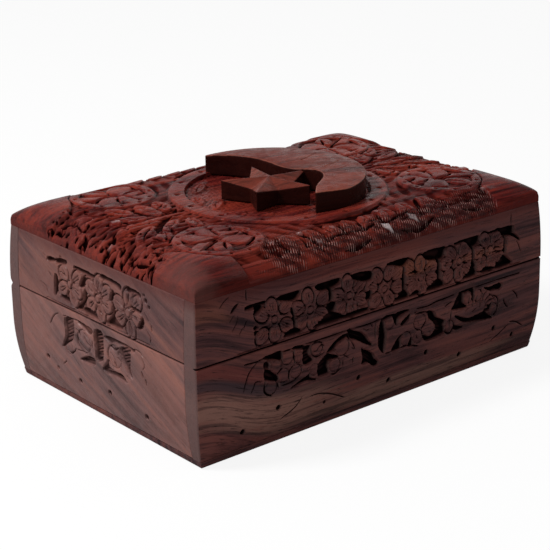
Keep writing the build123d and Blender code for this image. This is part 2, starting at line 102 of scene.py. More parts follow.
def bend(points, steps=6):  # a smooth line through the points
    p = np.array(points, float)
    if len(p) < 3:
        return p
    p = np.vstack([2 * p[0] - p[1], p, 2 * p[-1] - p[-2]])
    t = np.linspace(0, 1, steps, endpoint=False)[:, None]
    line = [0.5 * (2 * b + (c - a) * t + (2 * a - 5 * b + 4 * c - d) * t ** 2
                   + (3 * b - a - 3 * c + d) * t ** 3)
            for a, b, c, d in zip(p[:-3], p[1:-2], p[2:-1], p[3:])]
    return np.vstack(line + [p[-2:-1]])


def nearLine(u, v, line):  # distance to a line, and the share of the way along it
    lengths = np.hypot(*np.diff(line, axis=0).T)
    total, start = lengths.sum(), 0.0
    best, along = np.full(u.shape, 1e9), np.zeros(u.shape)
    for (x0, y0), (x1, y1), length in zip(line[:-1], line[1:], lengths):
        t = np.clip(((u - x0) * (x1 - x0) + (v - y0) * (y1 - y0)) / max(length, 1e-6) ** 2, 0, 1)
        d = np.hypot(u - x0 - t * (x1 - x0), v - y0 - t * (y1 - y0))
        closer = d < best
        best[closer] = d[closer]
        along[closer] = ((start + t * length) / total)[closer]
        start += length
    return best, along


def around(points, margin):
    p = np.array(points, float)
    return (p[:, 0].min() - margin, p[:, 0].max() + margin,
            p[:, 1].min() - margin, p[:, 1].max() + margin)


def gouge(sheet, points, width, depth, ends=0.5):  # a stroke of the gouge, thin at both ends
    u, v, at = patchOf(sheet, *around(points, width))
    if u.size == 0:
        return
    d, along = nearLine(u, v, bend(points))
    half = width / 2 * np.clip(np.sin(np.pi * np.clip(along, 0.02, 0.98)), 0.05, 1) ** ends
    sheet["h"][at] -= depth * np.clip(1 - (d / half) ** 1.4, 0, 1)


def groove(sheet, points, width, depth):  # a line of one width
    gouge(sheet, points, width, depth, ends=0.12)


def insideOf(u, v, points):  # distance inside a closed outline, below 0 outside it
    p = np.array(points, float)
    loop = np.vstack([p, p[:1]])
    d, _ = nearLine(u, v, loop)
    inside = np.zeros(u.shape, bool)
    for (x0, y0), (x1, y1) in zip(loop[:-1], loop[1:]):
        if y0 != y1:
            crossing = ((v > y0) != (v > y1)) & (u < (x1 - x0) * (v - y0) / (y1 - y0) + x0)
            inside ^= crossing
    return np.where(inside, d, -d)


def bendClosed(points, steps=4):  # a smooth closed outline through the points
    p = np.array(points, float)
    line = bend([p[-1], *p, p[0], p[1]], steps)
    return line[steps:-steps - 1]


def sink(sheet, points, depth, slope):  # a sunk shape with steep sides
    u, v, at = patchOf(sheet, *around(points, 1))
    if u.size:
        down = np.clip(insideOf(u, v, bendClosed(points)) / slope + 0.5, 0, 1)
        sheet["h"][at] = np.minimum(sheet["h"][at], -depth * down * (2 - down))


def hatch(sheet, points, spacing, turn, width, depth, seed):  # parallel strokes inside a shape
    rng = np.random.default_rng(seed)
    p = np.array(points, float)
    middle, reach = p.mean(0), np.hypot(*(p - p.mean(0)).T).max()
    c, s = math.cos(turn), math.sin(turn)
    outline = bendClosed(points)
    for k in np.arange(-reach, reach, spacing):
        k += rng.normal(0, spacing * 0.15)
        line = np.array([(middle[0] + c * a - s * k, middle[1] + s * a + c * k)
                         for a in np.linspace(-reach, reach, 24)])
        inside = insideOf(line[:, 0], line[:, 1], outline) > 0.2
        if inside.sum() > 2:
            kept = line[inside]
            gouge(sheet, [kept[0], kept[-1]], width, depth * rng.uniform(0.6, 1.2), 0.3)


def petalShare(sheet, x, y, length, width, turn, margin=0.5):  # 0 in its middle, 1 on its edge
    reach = max(length, width) + margin
    u, v, at = patchOf(sheet, x - reach, x + reach, y - reach, y + reach)
    c, s = math.cos(turn), math.sin(turn)
    a, b = ((u - x) * c + (v - y) * s) / length, ((v - y) * c - (u - x) * s) / width
    return np.hypot(a, b), at


def raisePetal(sheet, x, y, length, width, turn, top, ground, flat):  # domed; flatter as flat grows
    e, at = petalShare(sheet, x, y, length, width, turn)
    dome = ground + (top - ground) * np.sqrt(1 - np.clip(e, 0, 1) ** flat)
    sheet["h"][at] = np.where(e < 1, np.maximum(sheet["h"][at], dome), sheet["h"][at])


def outlinePetal(sheet, x, y, length, width, turn, line, depth):  # the cut round a petal
    e, at = petalShare(sheet, x, y, length, width, turn, 1.5)
    d = np.abs((e - 1) * min(length, width) - line / 2)
    sheet["h"][at] = np.minimum(sheet["h"][at], -depth * np.clip(1 - (d / (0.7 * line)) ** 2, 0, 1))


def pit(sheet, x, y, radius, depth):  # a drilled or punched dot
    u, v, at = patchOf(sheet, x - radius - 1, x + radius + 1, y - radius - 1, y + radius + 1)
    if u.size:
        d = np.hypot(u - x, v - y)
        sheet["h"][at] -= depth * np.clip((radius - d) / 0.5 + 0.5, 0, 1)


def easeEdges(sheet, radius, edges="left right low high"):  # rounded edges of the face
    u, v = sheet["u"], sheet["v"]
    inward = {"left": u - u[0], "right": u[-1] - u, "low": v - v[0], "high": v[-1] - v}
    for edge, d in inward.items():
        if edge in edges:
            fall = radius - np.sqrt(radius ** 2 - np.clip(radius - d, 0, radius) ** 2)
            sheet["h"] -= fall[:, None] if edge in ("low", "high") else fall[None, :]


def blurred(h, reach):  # a soft average over so many cells each way
    for _ in range(2):
        for axis in (0, 1):
            padding = [(reach + 1, reach) if i == axis else (0, 0) for i in (0, 1)]
            total = np.cumsum(np.pad(h, padding, mode="edge"), axis=axis)
            n = 2 * reach + 1
            h = (np.take(total, range(n, total.shape[axis]), axis) -
                 np.take(total, range(0, total.shape[axis] - n), axis)) / n
    return h


def unevenness(sheet, seed, size, height):  # slow hand-planed waves
    rng = np.random.default_rng(seed)
    u, v = np.meshgrid(sheet["u"], sheet["v"])
    for _ in range(10):
        a, phase = rng.uniform(0, math.tau, 2)
        k = math.tau / (size * rng.uniform(0.6, 1.8))
        sheet["h"] += height / 5 * np.sin(k * (u * math.cos(a) * 0.35 + v * math.sin(a)) + phase)


# From a sheet to a board
def pointsOf(mesh):
    co = np.empty(len(mesh.vertices) * 3)
    mesh.vertices.foreach_get("co", co)
    return co.reshape(-1, 3)


def movePoints(mesh, co):
    mesh.vertices.foreach_set("co", co.ravel())
    mesh.update()


fullySunk, shelterReach = 1.8, 1.2  # depth of the darkest stain and painted shade, and how far round a cut the painted shade reaches, in mm


def meshFrom(name, sheet, place):
    bpy.ops.object.select_all(action="DESELECT")
    rows, columns = sheet["h"].shape
    bpy.ops.mesh.primitive_grid_add(
        x_subdivisions=columns - 1, y_subdivisions=rows - 1, size=1,
        location=(0, 0, 0), rotation=(0, 0, 0))
    board = bpy.context.object
    board.name = board.data.name = name
    co = pointsOf(board.data)
    col = np.rint((co[:, 0] + 0.5) * (columns - 1)).astype(int)
    row = np.rint((co[:, 1] + 0.5) * (rows - 1)).astype(int)
    movePoints(board.data, place(sheet["u"][col], sheet["v"][row], sheet["h"][row, col]) * mm)
    # how sunk and how deep in a crevice each place is, for the stain and the painted shade of the
    # finish
    relief = sheet["relief"]
    sunk = np.clip(-relief / fullySunk, 0, 1)
    sheltered = blurred(relief, round(shelterReach / (sheet["u"][1] - sheet["u"][0]))) - relief
    marks = {"sunk": sunk, "sheltered": sheltered}
    marks.update({label: sheet[label] for label in ("glint", "comb") if label in sheet})
    for label, values in marks.items():
        attribute = board.data.attributes.new(label, "FLOAT", "POINT")
        attribute.data.foreach_set("value", values[row, col].astype(np.float32))
    return board


sawnFrom = 0.92  # share of a side left when its stain and painted shade end, just behind the carved face


def closeBehind(board, axis, level):  # the rim goes back to a flat plane, and is filled
    squeeze, middle = [1, 1, 1], [0, 0, 0]
    middle[axis] = level * mm
    bpy.ops.object.mode_set(mode="EDIT")
    bpy.ops.mesh.select_mode(type="VERT")
    bpy.ops.mesh.select_all(action="DESELECT")
    bpy.ops.mesh.select_non_manifold()
    for share in (sawnFrom, 0):
        squeeze[axis] = share
        bpy.ops.mesh.extrude_region_move()
        bpy.ops.transform.resize(value=squeeze, center_override=middle)
        bpy.ops.object.mode_set(mode="OBJECT")
        behind = [v.index for v in board.data.vertices if v.select]
        for label in ("sunk", "sheltered"):  # the sawn sides and the back have no carver's stain and no painted shade
            for i in behind:
                board.data.attributes[label].data[i].value = 0
        bpy.ops.object.mode_set(mode="EDIT")
    bpy.ops.mesh.edge_face_add()
    bpy.ops.mesh.select_all(action="SELECT")
    bpy.ops.mesh.normals_make_consistent(inside=False)
    bpy.ops.object.mode_set(mode="OBJECT")
    bpy.ops.object.shade_smooth_by_angle(angle=creaseAngle)


def applied(piece, kind, **settings):
    modifier = piece.modifiers.new(kind.title(), kind)
    for key, value in settings.items():
        setattr(modifier, key, value)
    bpy.ops.object.modifier_apply(modifier=modifier.name)


def finishPiece(piece, body, slot, material, *nodes):
    piece.data.materials.clear()
    piece.data.materials.append(material)
    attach(piece, body)
    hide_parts(*nodes)


hinge = {  # where the leaves and barrels are let into the back boards, in mm
    "places": (-51.0, 51.0), "length": 25.2, "from": 54.6, "axis": 59.7, "depth": 0.85,
    "barrel": 1.75,
}


def mortise(board):  # housings for the two hinges
    middle, deep = (hinge["from"] + hinge["axis"]) / 2, hinge["axis"] - hinge["from"]
    for x in hinge["places"]:
        bpy.ops.object.select_all(action="DESELECT")
        bpy.ops.mesh.primitive_cube_add(
            size=1, location=(x * mm, middle * mm, box["split"] * mm),
            scale=(hinge["length"] * mm, deep * mm, 2 * hinge["depth"] * mm))
        leaf = bpy.context.object
        bpy.ops.mesh.primitive_cylinder_add(
            vertices=48, radius=hinge["barrel"] * mm, depth=hinge["length"] * mm,
            location=(x * mm, hinge["axis"] * mm, box["split"] * mm), rotation=(0, math.pi / 2, 0))
        barrel = bpy.context.object
        for cutter in (leaf, barrel):
            bpy.ops.object.select_all(action="DESELECT")
            bpy.context.view_layer.objects.active = board
            board.select_set(True)
            applied(board, "BOOLEAN", object=cutter, operation="DIFFERENCE", solver="EXACT")
            bpy.data.objects.remove(cutter)
    bpy.ops.object.shade_smooth_by_angle(angle=creaseAngle)


wall = {  # in mm; the pitch is the size of a cell of the sheet
    "pitch": 0.28, "straight": 70, "drawn": 19,
    "arris": 0.55, "arrisDepth": 0.9, "wax": 1.5, "waves": 0.06, "waveSize": 26,
    "longEnds": 0.7, "shortEnds": 0.25, "farEdge": 0.3, "bevel": 2.42,
    "bevelAngle": math.radians(52),
}


def wallBoard(name, node, side, part, sheet, material):
    alongXY, outXY, reach = sides[side]
    along, out = np.array([*alongXY, 0.0]), np.array([*outXY, 0.0])
    isLong = side in ("front", "back")

    def place(u, v, h):
        inset = insetAt(v)
        if isLong:  # the ends of the long boards are drawn in as the short sides are
            share = np.clip((np.abs(u) - wall["straight"]) / wall["drawn"], 0, 1)
            u = u - np.sign(u) * inset * share
        return (u[:, None] * along + (reach - inset + h)[:, None] * out
                + v[:, None] * np.array([0, 0, 1.0]))

    board = meshFrom(name, sheet, place)
    axis = 1 if isLong else 0
    closeBehind(board, axis, (reach - box["wall"]) * out[axis])
    if side == "back":
        mortise(board)
    finishPiece(board, part, "rosewood", material, node)


# Finishes
class Wiring:  # the nodes of a material or a world
    def __init__(self, owner):
        owner.use_nodes = True
        self.tree = owner.node_tree
        self.join = self.tree.links.new

    def put(self, node, **settings):  # inputs and properties by name, where a link is joined
        for key, value in settings.items():
            target = node.inputs.get(key.replace("_", " "))
            if target is None:
                setattr(node, key, value)
            elif isinstance(value, bpy.types.NodeSocket):
                self.join(value, target)
            else:
                target.default_value = value
        return node

    def add(self, kind, **settings):
        return self.put(self.tree.nodes.new("ShaderNode" + kind), **settings)

    def reckon(self, operation, *values):
        node = self.add("Math", operation=operation)
        for value, target in zip(values, node.inputs):
            if isinstance(value, (int, float)):
                target.default_value = value
            else:
                self.join(value, target)
        return node.outputs[0]

    def shareOf(self, value, low, high, lowShare, highShare):
        node = self.add("MapRange", interpolation_type="SMOOTHSTEP", Value=value,
                        From_Min=low, From_Max=high, To_Min=lowShare, To_Max=highShare)
        return node.outputs[0]

    def mixed(self, share, base, colour):
        mix = self.add("Mix", data_type="RGBA", blend_type="MIX", Factor=share)
        self.join(base, mix.inputs[6])
        mix.inputs[7].default_value = (*colour, 1)
        return mix.outputs[2]

    def noise(self, place, scale, detail, rough, distortion=0.0):
        node = self.add("TexNoise", Vector=place, Scale=scale, Detail=detail, Roughness=rough,
                        Distortion=distortion)
        return node.outputs["Fac"]

    def ramp(self, value, *stops):
        node = self.add("ValToRGB", Fac=value)
        for i, (place, colour) in enumerate(stops):
            elements = node.color_ramp.elements
            element = elements[i] if i < 2 else elements.new(place)
            element.position, element.color = place, (*colour, 1)
        return node.outputs["Color"]


def newMaterial(name):
    material = bpy.data.materials.new(name)
    wiring = Wiring(material)
    return material, wiring, material.node_tree.nodes["Principled BSDF"]


# the front and back are given darker colours than the ends, partly as darker wood and partly as
# painted shade
tints = {
    "front": {"dark": (0.019, 0.0080, 0.0100), "mid": (0.092, 0.034, 0.034),
              "warm": (0.185, 0.058, 0.046)},
    "ends": {"dark": (0.050, 0.023, 0.024), "mid": (0.122, 0.052, 0.048),
             "warm": (0.205, 0.078, 0.060)},
    "baseEnd": {"dark": (0.070, 0.036, 0.035), "mid": (0.165, 0.080, 0.074),
                "warm": (0.25, 0.100, 0.078)},
    "top": {"dark": (0.022, 0.0026, 0.0028), "mid": (0.105, 0.0115, 0.0098),
            "warm": (0.23, 0.030, 0.016)},
    "moon": {"dark": (0.036, 0.0052, 0.0036), "mid": (0.110, 0.017, 0.0115),
             "warm": (0.21, 0.043, 0.026)},
}
meetings = {  # where a wall turns to the top's red, and the top to the wall's brown
    "wall": {"heights": (0.061, 0.0665), "shares": (0.0, 0.55), "colour": (0.060, 0.010, 0.009)},
    "top": {"heights": (0.0665, 0.070), "shares": (0.65, 0.0), "colour": (0.085, 0.0120, 0.010)},
}
worn = {  # the left end of the top, dulled
    "ends": (-0.072, -0.060), "nearY": (-0.048, -0.030), "share": 0.62,
    "colour": (0.120, 0.044, 0.038),
}
sag = {  # the grain falls away towards the left end of the front
    "from": -0.040, "to": -0.089, "rise": -0.012,
}
baseBlazes = [  # paler and darker flames in the wood, with their middle and reach along x and z
    {"at": (-0.064, 0.0115), "reach": (0.048, 0.0090), "share": 0.70,
     "colour": (0.290, 0.145, 0.112)},
    {"at": (0.012, 0.0072), "reach": (0.062, 0.0044), "share": 0.60,
     "colour": (0.260, 0.135, 0.105)},
    {"at": (-0.078, 0.0208), "reach": (0.036, 0.0026), "share": 0.75,
     "colour": (0.040, 0.026, 0.032)},
    {"at": (-0.078, 0.0268), "reach": (0.030, 0.0032), "share": 0.55,
     "colour": (0.170, 0.038, 0.032)},
]
lidBlazes = [  # the same for the front of the lid
    {"at": (-0.086, 0.050), "reach": (0.014, 0.007), "share": 0.6, "colour": (0.210, 0.070, 0.048)},
    {"at": (0.018, 0.053), "reach": (0.012, 0.0045), "share": 0.6, "colour": (0.230, 0.072, 0.040)},
    {"at": (0.055, 0.0498), "reach": (0.020, 0.0024), "share": 0.6,
     "colour": (0.210, 0.070, 0.046)},
    {"at": (-0.008, 0.061), "reach": (0.040, 0.0026), "share": 0.45,
     "colour": (0.200, 0.042, 0.030)},
]
grain = {  # noise along the board: scale along and across it, detail, roughness and distortion
    "figure": (9, 120, 6, 0.66, 0.8),    # broad streaks
    "lines": (16, 620, 4, 0.6, 0.3),     # fine dark and light lines
    "pores": (110, 1900, 3, 0.7, 0.0),   # short open pores
    "patches": (16, 34, 2, 0.5, 0.0),    # lighter and darker patches
    "mottle": (260, 260, 4, 0.65, 0.0),  # hand polish
}
comb = {  # rows of fine strokes: scale, distortion and detail scale of each set, and their turn
    "teeth": ("X", 330, 5.0, 0.6), "rows": ("Y", 105, 7.0, 0.4), "turn": 0.45,
}
accents = {  # colours of the painted highlight on a rim, a steep side, the painted highlight on a comb stroke's crest and the painted highlight on a polished flat
    "rubbed": (0.30, 0.125, 0.090), "sawn": (0.012, 0.0025, 0.0020),
    "crest": (0.50, 0.29, 0.26), "flat": (0.46, 0.38, 0.38), "flatGloss": 0.12,
}


# the stain share sets how dark the cuts are made, as stain and as painted shade; the ends get less
# than the front and back
def rosewood(name, tint, turn, shift, roughness, specular, fine=1.0, cutStainAndShade=1.0, carved=True,
             walls=False, rim=0.0, glints=False, meets=None, dust=None, sags=None, blazes=(),
             endGrain=None):
    material, w, shader = newMaterial(name)
    shareOf, reckon, mixed = w.shareOf, w.reckon, w.mixed
    texture = w.add("TexCoord").outputs
    place = texture["Object"]
    xyz = w.add("SeparateXYZ", Vector=place).outputs

    if sags:
        near = reckon("POWER", shareOf(xyz["X"], sags["to"], sags["from"], 1.0, 0.0), 1.5)
        lift = w.add("CombineXYZ", Z=reckon("MULTIPLY", near, sags["rise"]))
        lifted = w.add("VectorMath", operation="ADD", Vector=place)
        w.join(lift.outputs[0], lifted.inputs[1])
        place = lifted.outputs[0]
    along = w.add("Mapping", Vector=place, Rotation=turn, Location=shift).outputs[0]

    def stretched(length, across, *settings):
        squeeze = w.add("Mapping", Vector=along, Scale=(length, across, across))
        return w.noise(squeeze.outputs[0], 1.0, *settings)

    def attribute(label):
        return w.add("Attribute", attribute_name=label).outputs["Fac"]

    def darker(share):
        return [c * share for c in tint["dark"]]

    figure, lines, pores, patches, mottle = (stretched(*values) for values in grain.values())
    last = w.ramp(figure, (0.36, tint["dark"]), (0.50, tint["mid"]), (0.72, tint["warm"]))
    last = mixed(shareOf(patches, 0.44, 0.64, 0.0, 0.5), last, tint["warm"])
    for blaze in blazes:
        (bx, bz), (rx, rz) = blaze["at"], blaze["reach"]
        fit = w.add("Mapping", Vector=place, Scale=(1 / rx, 0, 1 / rz),
                    Location=(-bx / rx, 0, -bz / rz))
        length = w.add("VectorMath", operation="LENGTH", Vector=fit.outputs[0])
        ragged = reckon("MULTIPLY_ADD", figure, 1.6, length.outputs["Value"])
        last = mixed(shareOf(ragged, 1.25, 1.95, blaze["share"], 0.0), last, blaze["colour"])
    last = mixed(shareOf(lines, 0.36, 0.50, 0.62 * fine, 0.0), last, tint["dark"])
    last = mixed(shareOf(lines, 0.56, 0.70, 0.0, 0.45 * fine), last, tint["warm"])
    poreShare = shareOf(pores, 0.56, 0.68, 0.0, 0.8)
    last = mixed(reckon("MULTIPLY", poreShare, 0.4 + 0.6 * fine), last, darker(0.35))
    if endGrain:  # the sawn ends of a long board are greyer, with no long streaks
        endOn = reckon("ABSOLUTE", w.add("SeparateXYZ", Vector=texture["Normal"]).outputs["X"])
        last = mixed(shareOf(endOn, 0.6, 0.9, 0.0, 0.85), last, endGrain)
    if meets:  # near a height the stain takes on the colour of the next board
        wander = reckon("MULTIPLY_ADD", patches, 0.006, xyz["Z"])
        last = mixed(shareOf(wander, *meets["heights"], *meets["shares"]), last, meets["colour"])
    if dust:  # one end is dulled by handling
        wander = reckon("MULTIPLY_ADD", patches, 0.016, xyz["X"])
        ragged = reckon("MULTIPLY_ADD", mottle, 0.010, wander)
        near = shareOf(xyz["Y"], *dust["nearY"], 1.0, 0.3)
        dulled = reckon("MULTIPLY", near, shareOf(ragged, *dust["ends"], dust["share"], 0.0))
        last = mixed(dulled, last, dust["colour"])

    shine = specular
    if carved:  # stain gathers in the cuts and painted shade darkens them, and no polish reaches them
        sunk, sheltered = attribute("sunk"), attribute("sheltered")
        last = mixed(shareOf(sunk, 0.3, 0.95, 0.0, 0.88 * cutStainAndShade), last, darker(0.32))
        cutShare = shareOf(sheltered, 0.03, 0.38, 0.0, 0.95)
        last = mixed(reckon("MULTIPLY", cutShare, cutStainAndShade), last, darker(0.16))
        last = mixed(shareOf(sheltered, -0.5, -0.1, 0.16, 0.0), last, tint["warm"])
        both = reckon("MAXIMUM", shareOf(sunk, 0.25, 0.6, 0.0, 0.9), cutShare)
        shine = shareOf(both, 0.0, 1.0, specular, 0.0)
    if walls:  # the steep sides are made near black-brown by the slope of their face, and the sloping rim is painted pale as a highlight
        facing = w.add("SeparateXYZ", Vector=w.add("NewGeometry").outputs["Normal"]).outputs["Z"]
        rubbed = reckon("MULTIPLY", shareOf(facing, 0.55, 0.80, 0.0, 1.0),
                        shareOf(facing, 0.90, 0.995, 0.5, 0.0))
        last = mixed(reckon("MULTIPLY", rubbed, rim), last, accents["rubbed"])
        last = mixed(shareOf(facing, 0.35, 0.70, 0.92, 0.0), last, accents["sawn"])
    bumps = [(poreShare, 0.4, 0.0002, True), (lines, 0.35, 0.0002, False),
             (mottle, 0.35, 0.0006, False)]  # height, strength, distance, inward
    if glints:  # fine comb strokes, with painted highlights on their crests and painted shade in their hollows and between their rows, and small flats left by the blade, polished to a shine and painted pale as a highlight
        combed, glint = attribute("comb"), attribute("glint")
        turned = w.add("Mapping", Vector=place, Rotation=(0, 0, comb["turn"])).outputs[0]

        def waves(direction, scale, distortion, detailScale):
            wave = w.add("TexWave", wave_type="BANDS", bands_direction=direction, Vector=turned,
                         Scale=scale, Distortion=distortion, Detail=2.0, Detail_Scale=detailScale)
            return wave.outputs["Fac"]

        teeth, rows = waves(*comb["teeth"]), waves(*comb["rows"])
        inRow = shareOf(rows, 0.25, 0.6, 0.15, 1.0)
        combHeight = reckon("MULTIPLY", reckon("MULTIPLY", combed, inRow), teeth)
        # painted shade between the rows of strokes and in their hollows
        between = reckon("MULTIPLY", combed, shareOf(rows, 0.1, 0.6, 0.72, 0.22))
        last = mixed(between, last, darker(0.8))
        hollow = reckon("MULTIPLY", combed, shareOf(teeth, 0.05, 0.5, 0.55, 0.0))
        last = mixed(hollow, last, darker(0.6))
        # painted highlight on the crests of the strokes
        crest = reckon("MULTIPLY", combHeight, shareOf(teeth, 0.72, 0.96, 0.0, 0.75))
        crest = reckon("MULTIPLY", crest, shareOf(mottle, 0.42, 0.62, 0.05, 1.0))
        last = mixed(crest, last, accents["crest"])
        # a painted highlight on the flats
        flatGlint = reckon("MULTIPLY", glint, shareOf(mottle, 0.3, 0.6, 0.35, 0.9))
        last = mixed(flatGlint, last, accents["flat"])
        w.put(shader, Coat_Weight=shareOf(glint, 0.05, 0.6, 0.0, 1.0),
              Coat_Roughness=accents["flatGloss"])
        bumps.append((combHeight, 0.8, 0.0006, False))

    normal = None
    for height, strength, distance, inward in bumps:
        bump = w.add("Bump", Height=height, Strength=strength, Distance=distance, invert=inward)
        if normal:
            w.put(bump, Normal=normal)
        normal = bump.outputs["Normal"]
    gloss = shareOf(mottle, 0.3, 0.7, roughness - 0.10, roughness + 0.16)
    w.put(shader, Base_Color=last, Roughness=gloss, Specular_IOR_Level=shine, Normal=normal)
    return material


def velvetCloth(name):
    material, w, shader = newMaterial(name)
    place = w.add("TexCoord").outputs["Object"]
    nap, pile = w.noise(place, 60, 3, 0.6), w.noise(place, 2600, 2, 0.7)
    colour = w.ramp(nap, (0.35, (0.045, 0.0015, 0.004)), (0.7, (0.13, 0.006, 0.014)))
    bump = w.add("Bump", Height=pile, Strength=0.5, Distance=0.0004)
    w.put(shader, Base_Color=colour, Roughness=0.95, Sheen_Weight=0.7, Sheen_Roughness=0.35,
          Sheen_Tint=(0.75, 0.16, 0.2, 1), Specular_IOR_Level=0.1, Normal=bump.outputs["Normal"])
    return material


def wornMetal(name, clean, dull, roughness):
    material, w, shader = newMaterial(name)
    place = w.add("TexCoord").outputs["Object"]
    spots = w.noise(place, 700, 5, 0.65)
    brushed = w.add("Mapping", Vector=place, Scale=(300, 6000, 6000))
    scratches = w.noise(brushed.outputs[0], 1, 3, 0.6)
    bump = w.add("Bump", Height=scratches, Strength=0.2, Distance=0.0001)
    w.put(shader, Base_Color=w.ramp(spots, (0.38, dull), (0.62, clean)), Metallic=1.0,
          Roughness=w.shareOf(spots, 0.35, 0.7, roughness + 0.18, roughness),
          Normal=bump.outputs["Normal"])
    return material


quarter = math.pi / 2
grey = (0.115, 0.066, 0.062)  # end grain
frontWood = rosewood(
    "RosewoodFront", tints["front"], (0, 0, 0.01), (0.31, 0.02, 0.11), 0.34, 0.06,
    sags=sag, blazes=baseBlazes, endGrain=grey)
frontLidWood = rosewood(
    "RosewoodLidFront", tints["front"], (0, 0, -0.01), (0.83, 0.3, 0.42), 0.34, 0.06,
    meets=meetings["wall"], sags=sag, blazes=lidBlazes, endGrain=grey)
backWood = rosewood(
    "RosewoodBack", tints["front"], (0, 0.02, 0), (1.7, 0.5, 0.2), 0.34, 0.06, endGrain=grey)
leftWood = rosewood(
    "RosewoodLeftEnd", tints["ends"], (-0.42, 0, quarter), (0.4, 1.4, 0.7), 0.38, 0.15,
    fine=0.35, cutStainAndShade=0.6, meets=meetings["wall"])
leftBaseWood = rosewood(
    "RosewoodLeftBase", tints["baseEnd"], (-0.5, 0, quarter), (0.9, 0.3, 0.2), 0.38, 0.15,
    fine=0.3, cutStainAndShade=0.55)
rightWood = rosewood(
    "RosewoodRightEnd", tints["ends"], (0.1, 0, quarter), (2.4, 0.4, 1.7), 0.38, 0.15,
    fine=0.5, cutStainAndShade=0.6, meets=meetings["wall"])
topWood = rosewood(
    "RosewoodTop", tints["top"], (0, 0, 0.03), (0.9, 2.1, 0.3), 0.24, 0.026,
    glints=True, meets=meetings["top"], dust=worn)
# the crescent's rim gets a strong painted highlight, the star's a faint one
moonWood = rosewood(
    "RosewoodMoon", tints["moon"], (0, 0, 0.25), (3.1, 0.2, 0.9), 0.32, 0.03, walls=True, rim=0.8)
starWood = rosewood(
    "RosewoodStar", tints["moon"], (0, 0, 0.5), (1.1, 0.7, 0.4), 0.32, 0.03, walls=True, rim=0.12)
bottomWood = rosewood(
    "RosewoodBottom", tints["front"], (0, 0, 0), (4.1, 0.2, 0.9), 0.5, 0.1, carved=False)
velvet = velvetCloth("RedVelvet")
brass = wornMetal("DulledBrass", (0.60, 0.42, 0.17), (0.34, 0.22, 0.09), 0.28)
steel = wornMetal("BareSteel", (0.46, 0.46, 0.47), (0.26, 0.25, 0.25), 0.32)
print("finishes made")


